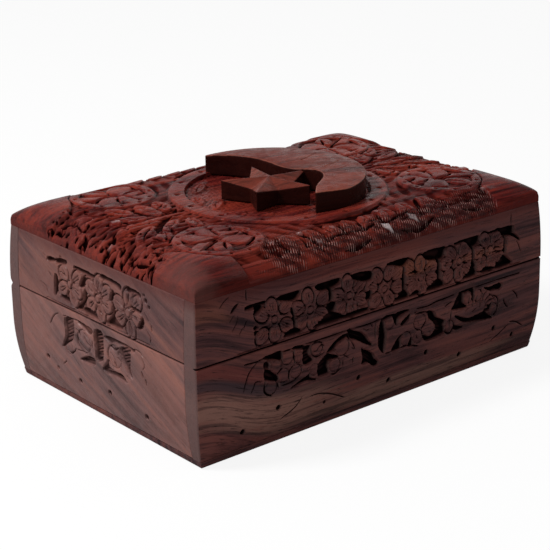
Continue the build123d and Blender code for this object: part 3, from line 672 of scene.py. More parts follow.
# The carved walls: all strokes in mm along the side and up it
lidFront = {
    "cutDepth": 2.6, "veins": (-1.35, -0.45, 0.45, 1.35), "eye": 1.5, "petal": (3.25, 2.6),
    "flowers": [  # eye, then the middles of the petals
        [(-53, 49.4), (-54.1, 54.5), (-47.2, 53.4), (-47.4, 45.9), (-53, 44.2), (-59, 44.6),
         (-58.7, 52.6)],
        [(-36, 48.6), (-40.5, 45.1), (-35, 44), (-30.9, 45.9), (-29.5, 51.9), (-37.1, 54),
         (-41.8, 50.8)],
        [(-16.9, 49.5), (-21.7, 45.8), (-15.8, 44.4), (-11.1, 46.9), (-11.5, 52.4), (-17.6, 54.5),
         (-22.6, 50.8)],
        [(0.9, 47.6), (-2.5, 53.6), (3.7, 53.6), (8.3, 52.2), (7.9, 47.1), (3.2, 43.6), (-4, 44.3),
         (-5.6, 50.1)],
        [(20.2, 47.8), (14.4, 48.9), (15.7, 44.6), (20.6, 43.9), (26.1, 45.7), (25.8, 50.2),
         (19.8, 53.4), (14.1, 53.4)],
        [(41.1, 49.2), (36.6, 53.4), (44, 53.8), (47.2, 50.1), (46.1, 45.7), (41, 44.2),
         (34.8, 44.8), (34, 49.8)],
        [(58.8, 50.1), (56, 54.6), (62.2, 54.3), (65, 50.8), (63.5, 46.7), (59.3, 44.6),
         (53.7, 45.5), (52.2, 50.4)],
    ],
    "cuts": [
        [(-65.5, 56.2), (-57.5, 56.4), (-57.4, 57.3), (-65.4, 57.3)],
        [(-62.3, 53.5), (-59, 54.6), (-58.3, 55.9), (-61.5, 55.9)],
        [(-50.5, 56.1), (-44.1, 54.4), (-41.5, 55.7), (-41.4, 57.3), (-50.4, 57.3)],
        [(-32.9, 56.4), (-31.1, 55), (-26.6, 54.4), (-22, 55.5), (-21.9, 57.3), (-32.4, 57.3)],
        [(-14.4, 55.3), (-8.3, 53.1), (-5.1, 53.7), (-5.7, 56.2), (-14.4, 57.2)],
        [(6.5, 55.8), (11, 54.4), (13.5, 56.1), (13.2, 57.2), (2.6, 57.1)],
        [(23.4, 54.2), (28.3, 52.9), (31.9, 52.8), (33.4, 55.3), (33.1, 57), (22, 57.1)],
        [(40.1, 56.5), (44.5, 56.7), (47.9, 53.5), (51.6, 54.4), (51.8, 57.3), (39.2, 57.2)],
        [(58.5, 56.7), (63.9, 56.8), (66, 54.4), (71.6, 53.7), (71.6, 57.1), (58.6, 57.3)],
        [(66.4, 54.8), (71.3, 53.3), (75.8, 50.6), (71.9, 54)],
        [(-44.2, 42), (-43, 42), (-43.5, 48.3), (-44.7, 51.6), (-44.5, 47.6)],
        [(-27, 50.2), (-25.5, 50.2), (-25.4, 55), (-26.6, 55)],
        [(-28.1, 48.5), (-23.5, 48.5), (-25.6, 44.4)],
        [(-8.5, 45.7), (-6.1, 46.1), (-5.9, 48.7), (-8.3, 48.5)],
        [(10.2, 42.9), (11.4, 43.1), (11.8, 51.3), (11.2, 54), (10.2, 50.4)],
        [(28.8, 43.8), (30.4, 44), (30.5, 52.2), (29.6, 55), (28.8, 49.4)],
        [(48.2, 42.9), (49, 42.9), (50.6, 45), (49.5, 48.5), (49.6, 54), (48.4, 54), (48.3, 48.1),
         (47.4, 44.8)],
        [(66.5, 47.6), (67.7, 47.6), (67.8, 54), (67, 54)],
        [(-49, 41.6), (-41, 41.6), (-43, 43.5), (-46.4, 43.6)],
        [(-34.5, 41.6), (-20, 41.6), (-24.4, 44.8), (-28.6, 45.1), (-31.6, 42.9)],
        [(-20, 41.4), (-8, 41.4), (-8.6, 42.7), (-19, 42.5)],
        [(5.6, 41.5), (13.4, 41.5), (12, 44.4), (9.8, 44.6), (7.4, 42.7)],
        [(14.6, 41.5), (19.4, 41.5), (18.2, 42.9), (15.6, 42.7)],
        [(23.6, 41.5), (32.4, 41.5), (31, 44.2), (28.6, 45), (25, 43.1)],
        [(43, 41.6), (50.4, 41.6), (50, 45.1), (48.3, 45.9), (45.6, 42.9)],
        [(54, 41.5), (61, 41.5), (59.8, 42.5), (55, 43.3)],
        [(61.4, 41.5), (71, 41.5), (69.4, 43.8), (66.3, 46.1), (63.4, 43.8)],
    ],
    "lines": [
        [(-43.7, 49), (-39, 51.1)], [(-7.8, 50.4), (-4.2, 51.9)], [(12.7, 50.4), (15.7, 51.1)],
        [(44.1, 47.6), (47.6, 48.5)], [(32.7, 49.4), (35.2, 50.6)], [(37.7, 42.9), (37.9, 45.7)],
        [(41.3, 42.9), (41.4, 45.7)], [(61.9, 47.6), (67.1, 48.5)], [(50.5, 49.2), (54.7, 51)],
        [(53.7, 44.8), (53.8, 47.6)], [(-15, 42.9), (-15.1, 46.6)], [(-13, 42.9), (-12.9, 45.7)],
        [(-14.9, 48.5), (-10.7, 51.7)], [(-13.8, 50.4), (-8.6, 53.7)],
        [(-12.5, 48.7), (-8.4, 51.3)], [(-15.1, 51.6), (-11.1, 55)],
    ],
    "pits": [(-62, 48.5, 0.8, 1.6), (-62, 46.5, 0.7, 1.6)],
    "grooves": [[(-72, 40.7), (-60, 40.9), (20, 40.8), (76, 40.9)]],
    "extras": [  # width, depth and points of single strokes on the plain wood
        (1.9, 1.1, [(-72.6, 56.8), (-71, 58), (-69.2, 59.3)]),
        (0.7, 0.5, [(-78, 59.6), (-75.4, 61.6), (-73, 62.8)]),
        (0.7, 0.6, [(-65.4, 59.4), (-65.2, 63.4)]),
        (0.7, 0.4, [(-72.6, 50), (-70.4, 52.6), (-69.6, 55.2)]),
        (0.7, 0.4, [(-69.6, 47.8), (-67.6, 50.4)]), (0.8, 0.5, [(-67.4, 49.6), (-65.8, 52.6)]),
        (0.7, 0.35, [(-73.6, 53.6), (-71, 56)]), (1.2, 1.0, [(-63, 48.9), (-60.4, 48.2)]),
        (1.2, 1.0, [(-62.8, 47.2), (-60.2, 46.6)]),
        (0.8, 0.6, [(-61.6, 40.2), (-62, 42.6), (-61.4, 45.6)]),
        (0.9, 0.7, [(70.9, 57.2), (71.2, 62)]),
        (0.8, 0.6, [(73.8, 50.6), (75.2, 48.6), (76.4, 45.4)]),
        (1.2, 0.9, [(60.2, 49.8), (62.6, 50.2), (65.6, 49.4)]),
        (1.2, 0.9, [(60.2, 48.6), (63.2, 48.4), (65.8, 47.8)]),
        (1.0, 0.8, [(60, 51.4), (62.6, 52.8), (64.4, 53.2)]),
        (1.0, 0.8, [(57.4, 49.4), (54.4, 48.4)]), (1.1, 0.8, [(42.8, 50.6), (46, 51.4)]),
        (1.0, 0.8, [(42.8, 48.6), (45.8, 47.4)]), (1.0, 0.8, [(22.2, 49.8), (25.6, 51.2)]),
        (1.0, 0.8, [(18.4, 50.2), (14.8, 50.8)]),
    ],
}


flowerCut = {  # width and depth of each stroke; top, ground and flatness of what is raised
    "outline": (0.65, 1.0), "petal": (-0.04, -0.75, 3.4),
    "heart": 3.2, "heartShape": (-0.3, -0.9, 2.4), "ring": (0.8, 0.6),
    "vein": 0.75, "middleVein": 0.5, "sideVein": 0.38,
    "nicks": 5, "nick": 0.6, "nickLength": 1.3, "nickDepth": (0.15, 0.34), "nickSpread": 0.34,
    "slope": 0.7, "line": (0.8, 0.7), "groove": (0.9, 0.7), "extraEnds": 0.35,
}


def circle(x, y, radius):
    turns = np.linspace(0, math.tau, 13)
    return [(x + radius * math.cos(a), y + radius * math.sin(a)) for a in turns]


def carveFlowers(sheet, d):
    cutting = flowerCut
    placed = [(eye, x, y, math.atan2(y - eye[1], x - eye[0]))
              for eye, *petals in d["flowers"] for x, y in petals]
    for eye, x, y, turn in placed:
        outlinePetal(sheet, x, y, *d["petal"], turn, *cutting["outline"])
    for eye, x, y, turn in placed:
        raisePetal(sheet, x, y, *d["petal"], turn, *cutting["petal"])
    for eye, *petals in d["flowers"]:
        raisePetal(sheet, *eye, cutting["heart"], cutting["heart"], 0, *cutting["heartShape"])
    for eye, x, y, turn in placed:  # veins cut from the eye up the petal
        c, s = math.cos(turn), math.sin(turn)
        for share in d["veins"]:
            foot = (eye[0] + c * 2.4 - s * share * 0.6, eye[1] + s * 2.4 + c * share * 0.6)
            tip = (x + c * 1.5 - s * share * 1.5, y + s * 1.5 + c * share * 1.5)
            depth = cutting["middleVein" if abs(share) < 1 else "sideVein"]
            gouge(sheet, [foot, tip], cutting["vein"], depth)
    rng = np.random.default_rng(21)
    for eye, x, y, turn in placed:  # and the nicks of a small blade
        c, s = math.cos(turn), math.sin(turn)
        for _ in range(cutting["nicks"]):
            spread = np.array(d["petal"][::-1]) * cutting["nickSpread"]
            across, along = rng.uniform(-1, 1, 2) * spread
            px, py = x + c * along - s * across, y + s * along + c * across
            lean, length = turn + rng.uniform(-0.5, 0.5), cutting["nickLength"]
            tip = (px + length * math.cos(lean), py + length * math.sin(lean))
            gouge(sheet, [(px, py), tip], cutting["nick"], rng.uniform(*cutting["nickDepth"]))
    for eye, *petals in d["flowers"]:
        groove(sheet, circle(*eye, d["eye"]), *cutting["ring"])
    for outline in d["cuts"]:
        sink(sheet, outline, d["cutDepth"], cutting["slope"])
    for line in d["lines"]:
        gouge(sheet, line, *cutting["line"])
    for x, y, radius, depth in d["pits"]:
        pit(sheet, x, y, radius, depth)
    for line in d["grooves"]:
        groove(sheet, line, *cutting["groove"])
    for width, depth, points in d["extras"]:
        gouge(sheet, points, width, depth, cutting["extraEnds"])


baseFront = {
    "cuts": [  # depth, then the outline
        (2.4, [(-58.8, 36.2), (-56, 34.9), (-53, 34.1), (-50.2, 33.2), (-50.3, 36.4), (-54, 36.6)]),
        (1.3, [(-58.6, 34), (-56.2, 34), (-56, 31), (-57.5, 30.5), (-58.4, 32)]),
        (1.8, [(-58.4, 30.8), (-55.6, 30.4), (-54, 28.8), (-52.2, 27.4), (-52, 25.6), (-54.5, 26),
               (-57, 27), (-58.2, 27.6)]),
        (1.6, [(-46, 20.8), (-42, 21.4), (-38, 21.5), (-34, 20.8), (-36.5, 22), (-37, 24),
               (-38.2, 23.4), (-41, 22.6)]),
        (1.5, [(-39.6, 35), (-36.4, 34.8), (-37.2, 32), (-35.4, 29), (-38, 28), (-40, 28.8),
               (-40, 31.5)]),
        (1.8, [(-44.4, 35.9), (-40, 34.8), (-39.6, 35.8), (-44, 36.6)]),
        (2.3, [(-32.8, 26), (-31, 28), (-28.5, 29.2), (-25.5, 28.2), (-22.8, 26.6), (-26.6, 26.6),
               (-28, 24.6), (-27.8, 22), (-31, 21.6), (-32.8, 22.2)]),
        (2.2, [(-28.6, 30), (-27, 31.6), (-24, 33.6), (-20.5, 34.8), (-18.3, 34.6), (-18, 33.6),
               (-20.4, 33), (-23, 32), (-25.4, 30), (-27, 29.6)]),
        (2.0, [(-18, 36), (-16.6, 36), (-16.6, 32.6), (-17.6, 32.6)]),
        (2.3, [(-16.4, 35.6), (-14.5, 34.6), (-11.5, 33.4), (-9, 31.2), (-7.4, 28.8), (-6, 27),
               (-8.4, 28), (-11, 29.6), (-14, 31.4), (-16.2, 32.6)]),
        (1.9, [(-11.2, 26.8), (-10.4, 26.2), (-7.6, 24.8), (-5.2, 22.8), (-4, 20.6), (-2.4, 18.8),
               (-3.6, 17.8), (-5.6, 18.6), (-7.4, 20.2), (-10.8, 20.4), (-10.4, 23)]),
        (2.3, [(-1.8, 33.6), (-0.8, 35.6), (0.4, 35), (1.2, 31.8), (1.6, 28.6), (1.2, 25),
               (0.4, 22.2), (-0.6, 23), (-2.2, 25.4), (-2.2, 29)]),
        (1.6, [(-0.6, 35.4), (0.6, 36.5), (3, 36.6), (5.6, 36.3), (5.6, 35.7), (3, 35.7),
               (0.8, 35)]),
        (2.2, [(6, 36.2), (13.6, 36.2), (10.6, 35.2), (8.4, 34.2), (7, 31.8), (6.2, 33.4)]),
        (1.2, [(9.4, 31.2), (10.4, 32.4), (12.4, 33.4), (14.2, 34.2), (14, 32.6), (12, 31),
               (10.4, 30.4)]),
        (2.3, [(24, 32.6), (25.8, 32.4), (27.4, 31.2), (28.8, 29), (31.2, 27.6), (33.4, 26.4),
               (33, 24.6), (33.2, 22), (31.6, 21.2), (28, 20.8), (24, 20.8), (22.6, 21.2),
               (21.6, 22.8), (22.4, 23.2), (24, 22), (26.4, 22.2), (28.2, 24), (28.4, 26),
               (26.4, 28.6), (24.6, 30)]),
        (2.0, [(4.6, 21.6), (6.6, 24.6), (8.4, 26.2), (10.6, 26.8), (9.4, 25), (9.6, 22.6),
               (8.6, 21.4)]),
        (1.6, [(13.8, 21.2), (15, 24.2), (15.8, 23), (15.6, 21)]),
        (2.2, [(37.2, 30.2), (38.4, 32), (39.8, 34.4), (41.4, 35.8), (43.8, 36.2), (43.8, 33),
               (44, 31), (45.6, 29.2), (41, 29.4)]),
        (1.2, [(38.8, 23), (40, 22.4), (43.2, 21.2), (40.4, 20.9), (38.6, 21.6)]),
        (2.2, [(39, 27), (41, 26.2), (44, 24.8), (47, 23.8), (50, 24), (52, 24.2), (55, 24.6),
               (56.6, 25.6), (57.4, 24.2), (59, 22), (60.6, 20.9), (56, 21.2), (50, 22.2), (45, 23),
               (41.4, 25)]),
        (2.2, [(43.4, 36.2), (49.6, 36), (49.7, 31), (48.9, 31), (48.6, 34.2), (47.4, 35.4),
               (44.4, 35.4)]),
        (1.9, [(55.6, 34.8), (58, 34.2), (61, 34.4), (64.6, 34.6), (66, 33.2), (64.6, 32),
               (61.8, 32.6), (59.4, 32.6)]),
        (1.6, [(55.6, 25.4), (57.4, 25.6), (58.8, 26.8), (60.4, 27.4), (59.6, 25), (58.4, 24.2),
               (57, 23.8)]),
    ],
    "hatched": [  # which cuts keep the strokes of the gouge in their ground, and their turn
        (2, -0.6), (4, 0.2), (6, 0.35), (9, -0.5), (10, -0.7), (11, 0.2), (15, -0.2), (18, 0.7),
        (22, 0.3),
    ],
    "lines": [  # width, depth, then the points
        (1.0, 0.7, [(-62, 35.2), (-65.2, 32.6), (-67, 29.2), (-68.2, 25.8)]),
        (1.0, 0.5, [(-64.9, 24), (-63.6, 26), (-62.6, 27.8), (-60, 27.4)]),
        (1.3, 0.9, [(-58, 27.6), (-58.6, 24.5), (-58.4, 22.6), (-57, 21.2), (-55.2, 20.3)]),
        (1.3, 0.9, [(-53, 26.2), (-52.2, 24.4), (-52, 22.8)]),
        (1.1, 0.8, [(-52.4, 27.9), (-51, 29), (-49.6, 30)]),
        (1.2, 0.9, [(-46.8, 24.2), (-46.7, 27.2), (-45, 29.6)]),
        (1.0, 0.9, [(-44.3, 36), (-44.3, 30.2)]), (0.9, 0.6, [(-49.8, 33.2), (-50, 30.8)]),
        (0.6, 0.3, [(-42.8, 30), (-42.7, 33.4)]), (0.6, 0.3, [(-41.4, 30), (-41.3, 33)]),
        (1.0, 0.8, [(-50.6, 23.1), (-47, 23), (-44, 23.5), (-42, 24.6)]),
        (1.1, 0.9, [(-36.2, 33.6), (-35.8, 31), (-33.5, 29.6), (-31, 30), (-29.6, 30.7)]),
        (0.9, 0.7, [(-35, 32.4), (-33.6, 32), (-32.4, 33.2), (-31, 33.8), (-29.8, 33.2)]),
        (0.9, 0.6, [(-36.5, 35), (-33, 35.2), (-30.4, 34.6)]),
        (0.8, 0.6, [(-38.6, 25.8), (-37.8, 26.6)]),
        (1.0, 0.7, [(-16.7, 31.8), (-15.2, 29.5), (-14.6, 27.8)]),
        (0.8, 0.5, [(-16.4, 28.8), (-15, 27.8)]),
        (1.2, 0.9, [(-26.8, 21), (-24.6, 20.3), (-21.4, 21.8)]),
        (0.8, 0.6, [(-20.7, 22.6), (-20.6, 25)]), (0.8, 0.8, [(-15.6, 22.6), (-15.5, 24.6)]),
        (0.9, 0.6, [(-20, 26.6), (-18, 25.2)]),
        (0.8, 0.5, [(-10.6, 34.7), (-8.6, 33.5), (-7.2, 33.8)]),
        (0.8, 0.7, [(-4.1, 35.2), (-4.2, 29.4)]), (0.7, 0.5, [(-3, 34), (-3, 29.8)]),
        (0.8, 0.6, [(-6.4, 35.6), (-5.4, 34)]),
        (1.3, 1.0, [(1.4, 21.4), (6, 21), (12, 21.4), (16, 20.6), (18.8, 19.8)]),
        (1.2, 0.9, [(17.2, 33.3), (20, 33.3), (23, 32.8), (25.2, 32)]),
        (1.1, 0.9, [(17.6, 35.5), (24, 35), (28, 35.6), (33, 35.8), (38, 36.2)]),
        (0.9, 0.7, [(16.4, 34), (17.8, 34.2)]), (0.8, 0.4, [(17.4, 27.4), (18.8, 26.6)]),
        (0.7, 0.4, [(18.4, 30.6), (18.8, 29)]), (0.8, 0.6, [(17.6, 24.6), (18.4, 22.8)]),
        (0.6, 0.35, [(24, 25.4), (26.4, 26.2)]), (0.6, 0.35, [(24, 24.6), (25.6, 23.4)]),
        (0.9, 0.7, [(33.2, 32.5), (35, 33), (36.9, 33.5)]),
        (0.9, 0.8, [(36.8, 30), (36.6, 27), (36, 24.8), (35.8, 22.8)]),
        (1.2, 1.0, [(33.3, 24), (33.5, 22), (35, 20.6), (37, 20.5), (38.2, 21.8), (38.8, 24)]),
        (0.9, 0.6, [(46.8, 29.8), (46.9, 33)]), (0.9, 0.7, [(51, 29), (51.4, 32.6)]),
        (0.9, 0.6, [(53.2, 27), (53.6, 30)]), (0.8, 0.5, [(44.6, 27.4), (47, 28.4)]),
        (1.0, 0.8, [(48.9, 28.4), (49.2, 33)]), (0.8, 0.5, [(48.6, 26.2), (51.2, 27.2)]),
        (1.0, 0.9, [(54.6, 29.6), (55.6, 32), (57.4, 33.2)]),
        (1.1, 1.0, [(55.8, 28.6), (57.6, 30.2), (59.6, 31)]),
        (1.2, 1.0, [(56, 27.4), (58.4, 28.6), (60.6, 28.8)]),
        (1.2, 1.0, [(55.8, 26.6), (57.6, 26.8), (59, 26)]),
        (1.0, 0.9, [(60.8, 30.4), (63, 29), (64, 26.8), (63.6, 23.6), (61.6, 21.4)]),
        (0.9, 0.7, [(58.4, 31.6), (60.6, 30), (62, 27.6)]), (0.9, 0.6, [(53.6, 33.4), (54, 35.4)]),
        (1.0, 0.7, [(66.9, 27), (68, 24.8), (69.6, 23)]),
        (1.0, 0.6, [(72.3, 29.6), (74.4, 27.6), (75.4, 25.4)]),
    ],
    "arcs": [
        [(-50.6, 9.2), (-45.4, 11.2), (-42.4, 13.2), (-40.6, 15.6)],
        [(-36.4, 14.6), (-31.6, 14.2), (-25.6, 12.2), (-19, 8.8)],
        [(60.8, 10), (65.6, 12), (68.4, 13.6), (70.6, 15)], [(71.4, 16), (75.4, 15), (79.8, 12.4)],
    ],
    "buds": [
        (-55.4, 23.7, 2.9), (-24.6, 24, 2.8), (12.2, 24.6, 2.9), (18.8, 23.6, 2.8),
        (24.3, 25.4, 3.7), (36, 23.5, 2.5), (61, 24.3, 2.7), (-33.3, 33, 2.9), (52, 32.4, 2.6),
        (46.3, 32.6, 2.4), (-47.4, 33.3, 2.9), (-42, 31.8, 2.2), (-49.4, 26.8, 2.8), (-53, 31, 2.7),
        (3.5, 33.2, 2.6), (-20.8, 30.2, 3.6), (-43.6, 26.8, 2.8), (-34.8, 25, 2.4),
        (19.6, 29.6, 3.4),
    ],
    "dots": [
        (-51.8, 14.6), (-12.2, 15.1), (23.6, 15.7), (62, 15.7), (-68.3, 9.7), (4, 9.2), (42.9, 9.2),
        (74.1, 9.6),
    ],
    "faintDots": [(-29, 9.8)],
    "grooves": [
        [(-67.5, 36), (-62, 35.6), (-56, 36.2), (-44, 36)], [(-40, 36), (-33, 36.1), (-18, 36.1)],
        [(-17, 36.1), (-8, 35.8), (-0.6, 36.2)], [(41, 36.3), (76, 36.2)],
    ],
}


leafCut = {  # width and depth of each stroke, or radius and depth
    "budFall": 0.45, "bud": (0.7, 0.25), "slope": 0.7, "hatchSpacing": 1.3, "hatch": (0.9, 0.5),
    "lineEnds": 0.3, "arc": (1.1, 0.6, 0.35), "dot": (1.0, 1.6), "faintDot": (0.8, 0.5),
    "groove": (1.0, 0.8),
}


def carveLeaves(sheet, d):
    cutting = leafCut
    for x, y, radius in d["buds"]:  # rounded over, down to their outline
        e, at = petalShare(sheet, x, y, radius, radius, 0, 0)
        sheet["h"][at] -= np.where(e < 1, cutting["budFall"] * np.clip(e, 0, 1) ** 3, 0)
    for bud in d["buds"]:
        groove(sheet, circle(*bud), *cutting["bud"])
    for depth, outline in d["cuts"]:
        sink(sheet, outline, depth, cutting["slope"])
    for which, turn in d["hatched"]:
        hatch(sheet, d["cuts"][which][1], cutting["hatchSpacing"], turn, *cutting["hatch"], which)
    for width, depth, points in d["lines"]:
        gouge(sheet, points, width, depth, cutting["lineEnds"])
    for line in d["arcs"]:
        gouge(sheet, line, *cutting["arc"])
    for kind in ("dot", "faintDot"):
        for x, y in d[kind + "s"]:
            pit(sheet, x, y, *cutting[kind])
    for line in d["grooves"]:
        groove(sheet, line, *cutting["groove"])


endLid = {
    "cutDepth": 1.7, "veins": (-0.5, 0.5), "eye": 1.7, "petal": (3.5, 2.9),
    "flowers": [
        [(-18.2, 50.2), (-21.6, 53.6), (-12.4, 54.2), (-12.8, 48.8), (-15, 45.4), (-22.4, 47.6)],
        [(0.6, 49.6), (-3.9, 52.6), (1.4, 55.6), (6.4, 53.4), (6.8, 48.6), (3.2, 44.6), (-3, 46.6)],
        [(20.3, 49.6), (14.6, 51.8), (20.6, 55.6), (26, 54.4), (26.6, 48.8), (22.4, 43.8),
         (15.8, 46.4)],
    ],
    "cuts": [
        [(-27.4, 56.6), (-20.6, 57.6), (-20.4, 59.2), (-27, 58.2)],
        [(-13.8, 57.4), (-2.6, 56.8), (-2.2, 58.2), (-13.2, 58.6)],
        [(-8.6, 56), (-7, 56), (-7.4, 52.6), (-10.6, 51.2), (-10.8, 52)],
        [(-7.6, 50.4), (-6.2, 50.4), (-7, 46.6), (-10, 42.6), (-13, 42.4), (-8.4, 46.6)],
        [(-24, 43.6), (-18.6, 43), (-18.4, 44.6), (-23, 44.8)],
        [(-9.6, 42.2), (0.4, 41.4), (0, 43), (-5.4, 44.4)],
        [(10.4, 50.4), (12, 50), (12.6, 45.6), (17.4, 42.4), (7.4, 41.8), (10.6, 46)],
        [(9.4, 51.4), (11.2, 52.4), (11.4, 55.6), (10, 55)],
        [(3, 58.2), (11, 58.2), (15.6, 57), (15.4, 59), (3.8, 59.8)],
        [(23, 51.8), (27.6, 51.6), (27.6, 52.6), (23.4, 52.6)],
        [(29.2, 50), (30.2, 49), (28, 45.6), (27, 46)],
        [(-27.8, 51.6), (-26, 51), (-26.4, 45.6), (-28.4, 43.8)],
        [(-33, 56.2), (-28.6, 57), (-28.6, 58), (-32.6, 57.6)],
        [(19.6, 57.6), (24, 58.2), (28, 57.6), (27.6, 59), (20, 59.4)],
    ],
    "lines": [
        [(-24, 54), (-19.5, 53)], [(-15, 49.2), (-10.6, 47.4)], [(-6.6, 53.4), (-2.2, 51.6)],
        [(3.4, 49), (8.4, 48)], [(2, 45.4), (5, 44.4)], [(21.6, 47), (23.2, 44)],
        [(23.6, 49.4), (27, 48.6)], [(20.4, 53), (20.8, 57)], [(-22.4, 50.8), (-19.4, 51)],
        [(-1.6, 54.8), (2.8, 52.4)],
    ],
    "pits": [
        (31.6, 57.2, 0.9, 0.8), (33.6, 55.4, 0.7, 0.6), (30.4, 59, 0.6, 0.6), (-24, 59.6, 0.6, 0.6),
    ],
    "grooves": [[(-34, 41), (-10, 40.9), (14, 41), (34, 41.2)]],
    "extras": [
        (0.8, 0.5, [(-38, 46.4), (-34.6, 45.2), (-33, 43.4)]),
        (0.7, 0.4, [(-36.4, 58.4), (-33, 56.8)]),
        (0.8, 0.5, [(32, 46.6), (34.4, 44.4), (34.6, 42.4)]), (0.9, 0.5, [(31, 52.6), (33.6, 50)]),
        (0.8, 0.5, [(35, 49.4), (35.6, 46.8)]), (0.7, 0.4, [(-32, 52), (-29.6, 50)]),
    ],
}
endBase = {
    "cuts": [
        (1.2, [(-22.2, 35.6), (-16.4, 35.8), (-16.6, 30), (-18.4, 27.4), (-21.4, 25.4),
               (-24.8, 23.2), (-22.2, 28.6)]),
        (1.3, [(-13.4, 36.6), (-4, 36.2), (-4.4, 34.2), (-6.4, 33.4), (-9.6, 34.8)]),
        (1.5, [(-2, 36.2), (3.4, 36.6), (3.2, 28), (2.6, 25.6), (-1.2, 24.6), (-1.8, 29)]),
        (1.3, [(-12.4, 21.4), (-9, 23.4), (-7, 24.2), (-3, 24.4), (-3, 22), (-8, 21.2)]),
        (1.1, [(4.6, 35.6), (7.6, 36.6), (16, 36.8), (24, 36.2), (21.6, 35), (12, 35.6),
               (8.2, 34.4)]),
        (1.1, [(15, 34.6), (20.8, 35), (20.8, 28), (22, 24.4), (20, 25.2), (17.4, 28.4),
               (15.4, 31)]),
        (1.3, [(2.8, 21.8), (5.4, 25.6), (6.6, 27), (7.2, 24.4), (11, 23.6), (15.6, 23.6),
               (17.4, 21.4), (10, 21.6)]),
    ],
    "hatched": [(0, 0.5), (2, 0.25), (2, 0.5), (3, 0.15), (5, 0.4), (6, 0.1), (4, 1.4)],
    "lines": [
        (1.1, 0.8, [(-23, 36.4), (-18, 36.6), (-12, 36.8), (-4, 36)]),
        (0.9, 0.5, [(-33, 30.4), (-30, 34.4), (-26.6, 36.4)]),
        (1.0, 0.7, [(-21.8, 22.6), (-19, 22), (-16.4, 23.6), (-15.4, 25)]),
        (0.9, 0.6, [(-19.6, 27.2), (-17, 26.6), (-14.6, 25)]),
        (1.4, 0.7, [(-14.6, 33.4), (-12.8, 32.2), (-11.8, 31)]),
        (1.4, 0.7, [(-12, 28.4), (-10, 26.8), (-7.6, 26)]),
        (1.3, 0.6, [(-9.4, 31.6), (-7.6, 29.6), (-5.6, 28.8)]),
        (1.2, 0.6, [(-15, 30.6), (-12.8, 28.6)]),
        (1.0, 0.6, [(-14.8, 24.8), (-11, 25), (-7, 24.8)]),
        (1.1, 0.6, [(-6.4, 27.4), (-4.4, 25.2)]), (1.0, 0.6, [(-9.4, 33), (-7, 31.4)]),
        (1.1, 0.5, [(-3.8, 31.6), (-4, 28.6)]), (1.5, 0.8, [(8, 33.2), (11, 32.4), (13.8, 34)]),
        (1.2, 0.6, [(13.4, 33.8), (13.4, 31)]), (1.2, 0.6, [(8.4, 30.6), (10.4, 29.2), (12, 27)]),
        (1.1, 0.7, [(10.6, 27.4), (11.8, 25.8)]), (1.0, 0.6, [(14.6, 27.6), (15.6, 26)]),
        (1.1, 0.5, [(7.4, 28.4), (9.4, 26.6)]), (1.1, 0.6, [(12.6, 30), (15.2, 28.4)]),
        (0.9, 0.6, [(18.2, 24.4), (20.6, 23)]), (1.1, 0.6, [(28, 29), (29, 27)]),
        (1.0, 0.5, [(30.4, 26.6), (31, 24.6)]), (0.9, 0.4, [(28.4, 35), (30, 32), (29, 30)]),
        (0.7, 0.5, [(-25.6, 15.4), (-22.8, 17.6)]), (0.7, 0.4, [(17, 21), (19, 21.8)]),
    ],
    "arcs": [[(24, 36.6), (27.4, 36.4), (29.6, 35)]],
    "buds": [(-20.2, 23.8, 2.7), (-9.6, 29.6, 4.7), (10.8, 29.6, 4.6)],
    "dots": [(-36.8, 15.2), (-14.8, 11.4), (5.6, 13.2), (28.8, 10.9)],
    "faintDots": [(-30.2, 12.3)],
    "grooves": [],
}


def mirrored(d):  # the same carving the other way round, for the sides that face away
    def flip(value):
        if isinstance(value, list):
            return [flip(item) for item in value]
        if isinstance(value[-1], list):
            return (*value[:-1], flip(value[-1]))
        return (-value[0], *value[1:])
    other = {key: flip(value) if isinstance(value, list) else value for key, value in d.items()}
    if "hatched" in d:
        other["hatched"] = [(which, -turn) for which, turn in d["hatched"]]
    return other


def makeWall(name, node, side, part, carve, d, material, seed):
    isLong = side in ("front", "back")
    half = box["halfLength"] if isLong else box["halfWidth"] - box["wall"]
    low, high = (box["split"], box["seam"]) if part == "lid" else (box["bottom"], box["split"])
    sheet = newSheet(-half, half, low, high, wall["pitch"])
    carve(sheet, d)
    fromSplit = np.abs(sheet["v"] - box["split"])
    meeting = np.clip(1 - fromSplit / wall["arris"], 0, 1)[:, None]
    sheet["h"] -= wall["arrisDepth"] * meeting  # worn where the lid meets the base; the split also counts as deeper, so the finish paints shade along it
    sheet["relief"] = sheet["h"] - wall["wax"] * meeting
    unevenness(sheet, seed, wall["waveSize"], wall["waves"])
    easeEdges(sheet, wall["longEnds"] if isLong else wall["shortEnds"], "left right")
    easeEdges(sheet, wall["farEdge"], "high" if part == "lid" else "low")
    if side == "back":  # bevelled at the split, so that the lid opens to its stop
        fall = np.clip(wall["bevel"] - fromSplit, 0, wall["bevel"]) / math.tan(wall["bevelAngle"])
        sheet["h"] = np.minimum(sheet["h"], -fall[:, None])
    wallBoard(name, node, side, part, sheet, material)


for i, (name, node, carve, strokes, material) in enumerate((
        ("LidFrontBoard", "lid_front_board", carveFlowers, lidFront, frontLidWood),
        ("LidBackBoard", "lid_back_board", carveFlowers, mirrored(lidFront), backWood),
        ("LidLeftBoard", "lid_left_board", carveFlowers, endLid, leftWood),
        ("LidRightBoard", "lid_right_board", carveFlowers, mirrored(endLid), rightWood),
        ("BaseFrontBoard", "base_front_board", carveLeaves, baseFront, frontWood),
        ("BaseBackBoard", "base_back_board", carveLeaves, mirrored(baseFront), backWood),
        ("BaseLeftBoard", "base_left_board", carveLeaves, endBase, leftBaseWood),
        ("BaseRightBoard", "base_right_board", carveLeaves, mirrored(endBase), rightWood))):
    part, side, _ = node.split("_")
    makeWall(name, node, side, part, carve, strokes, material, i + 1)
print("walls carved")


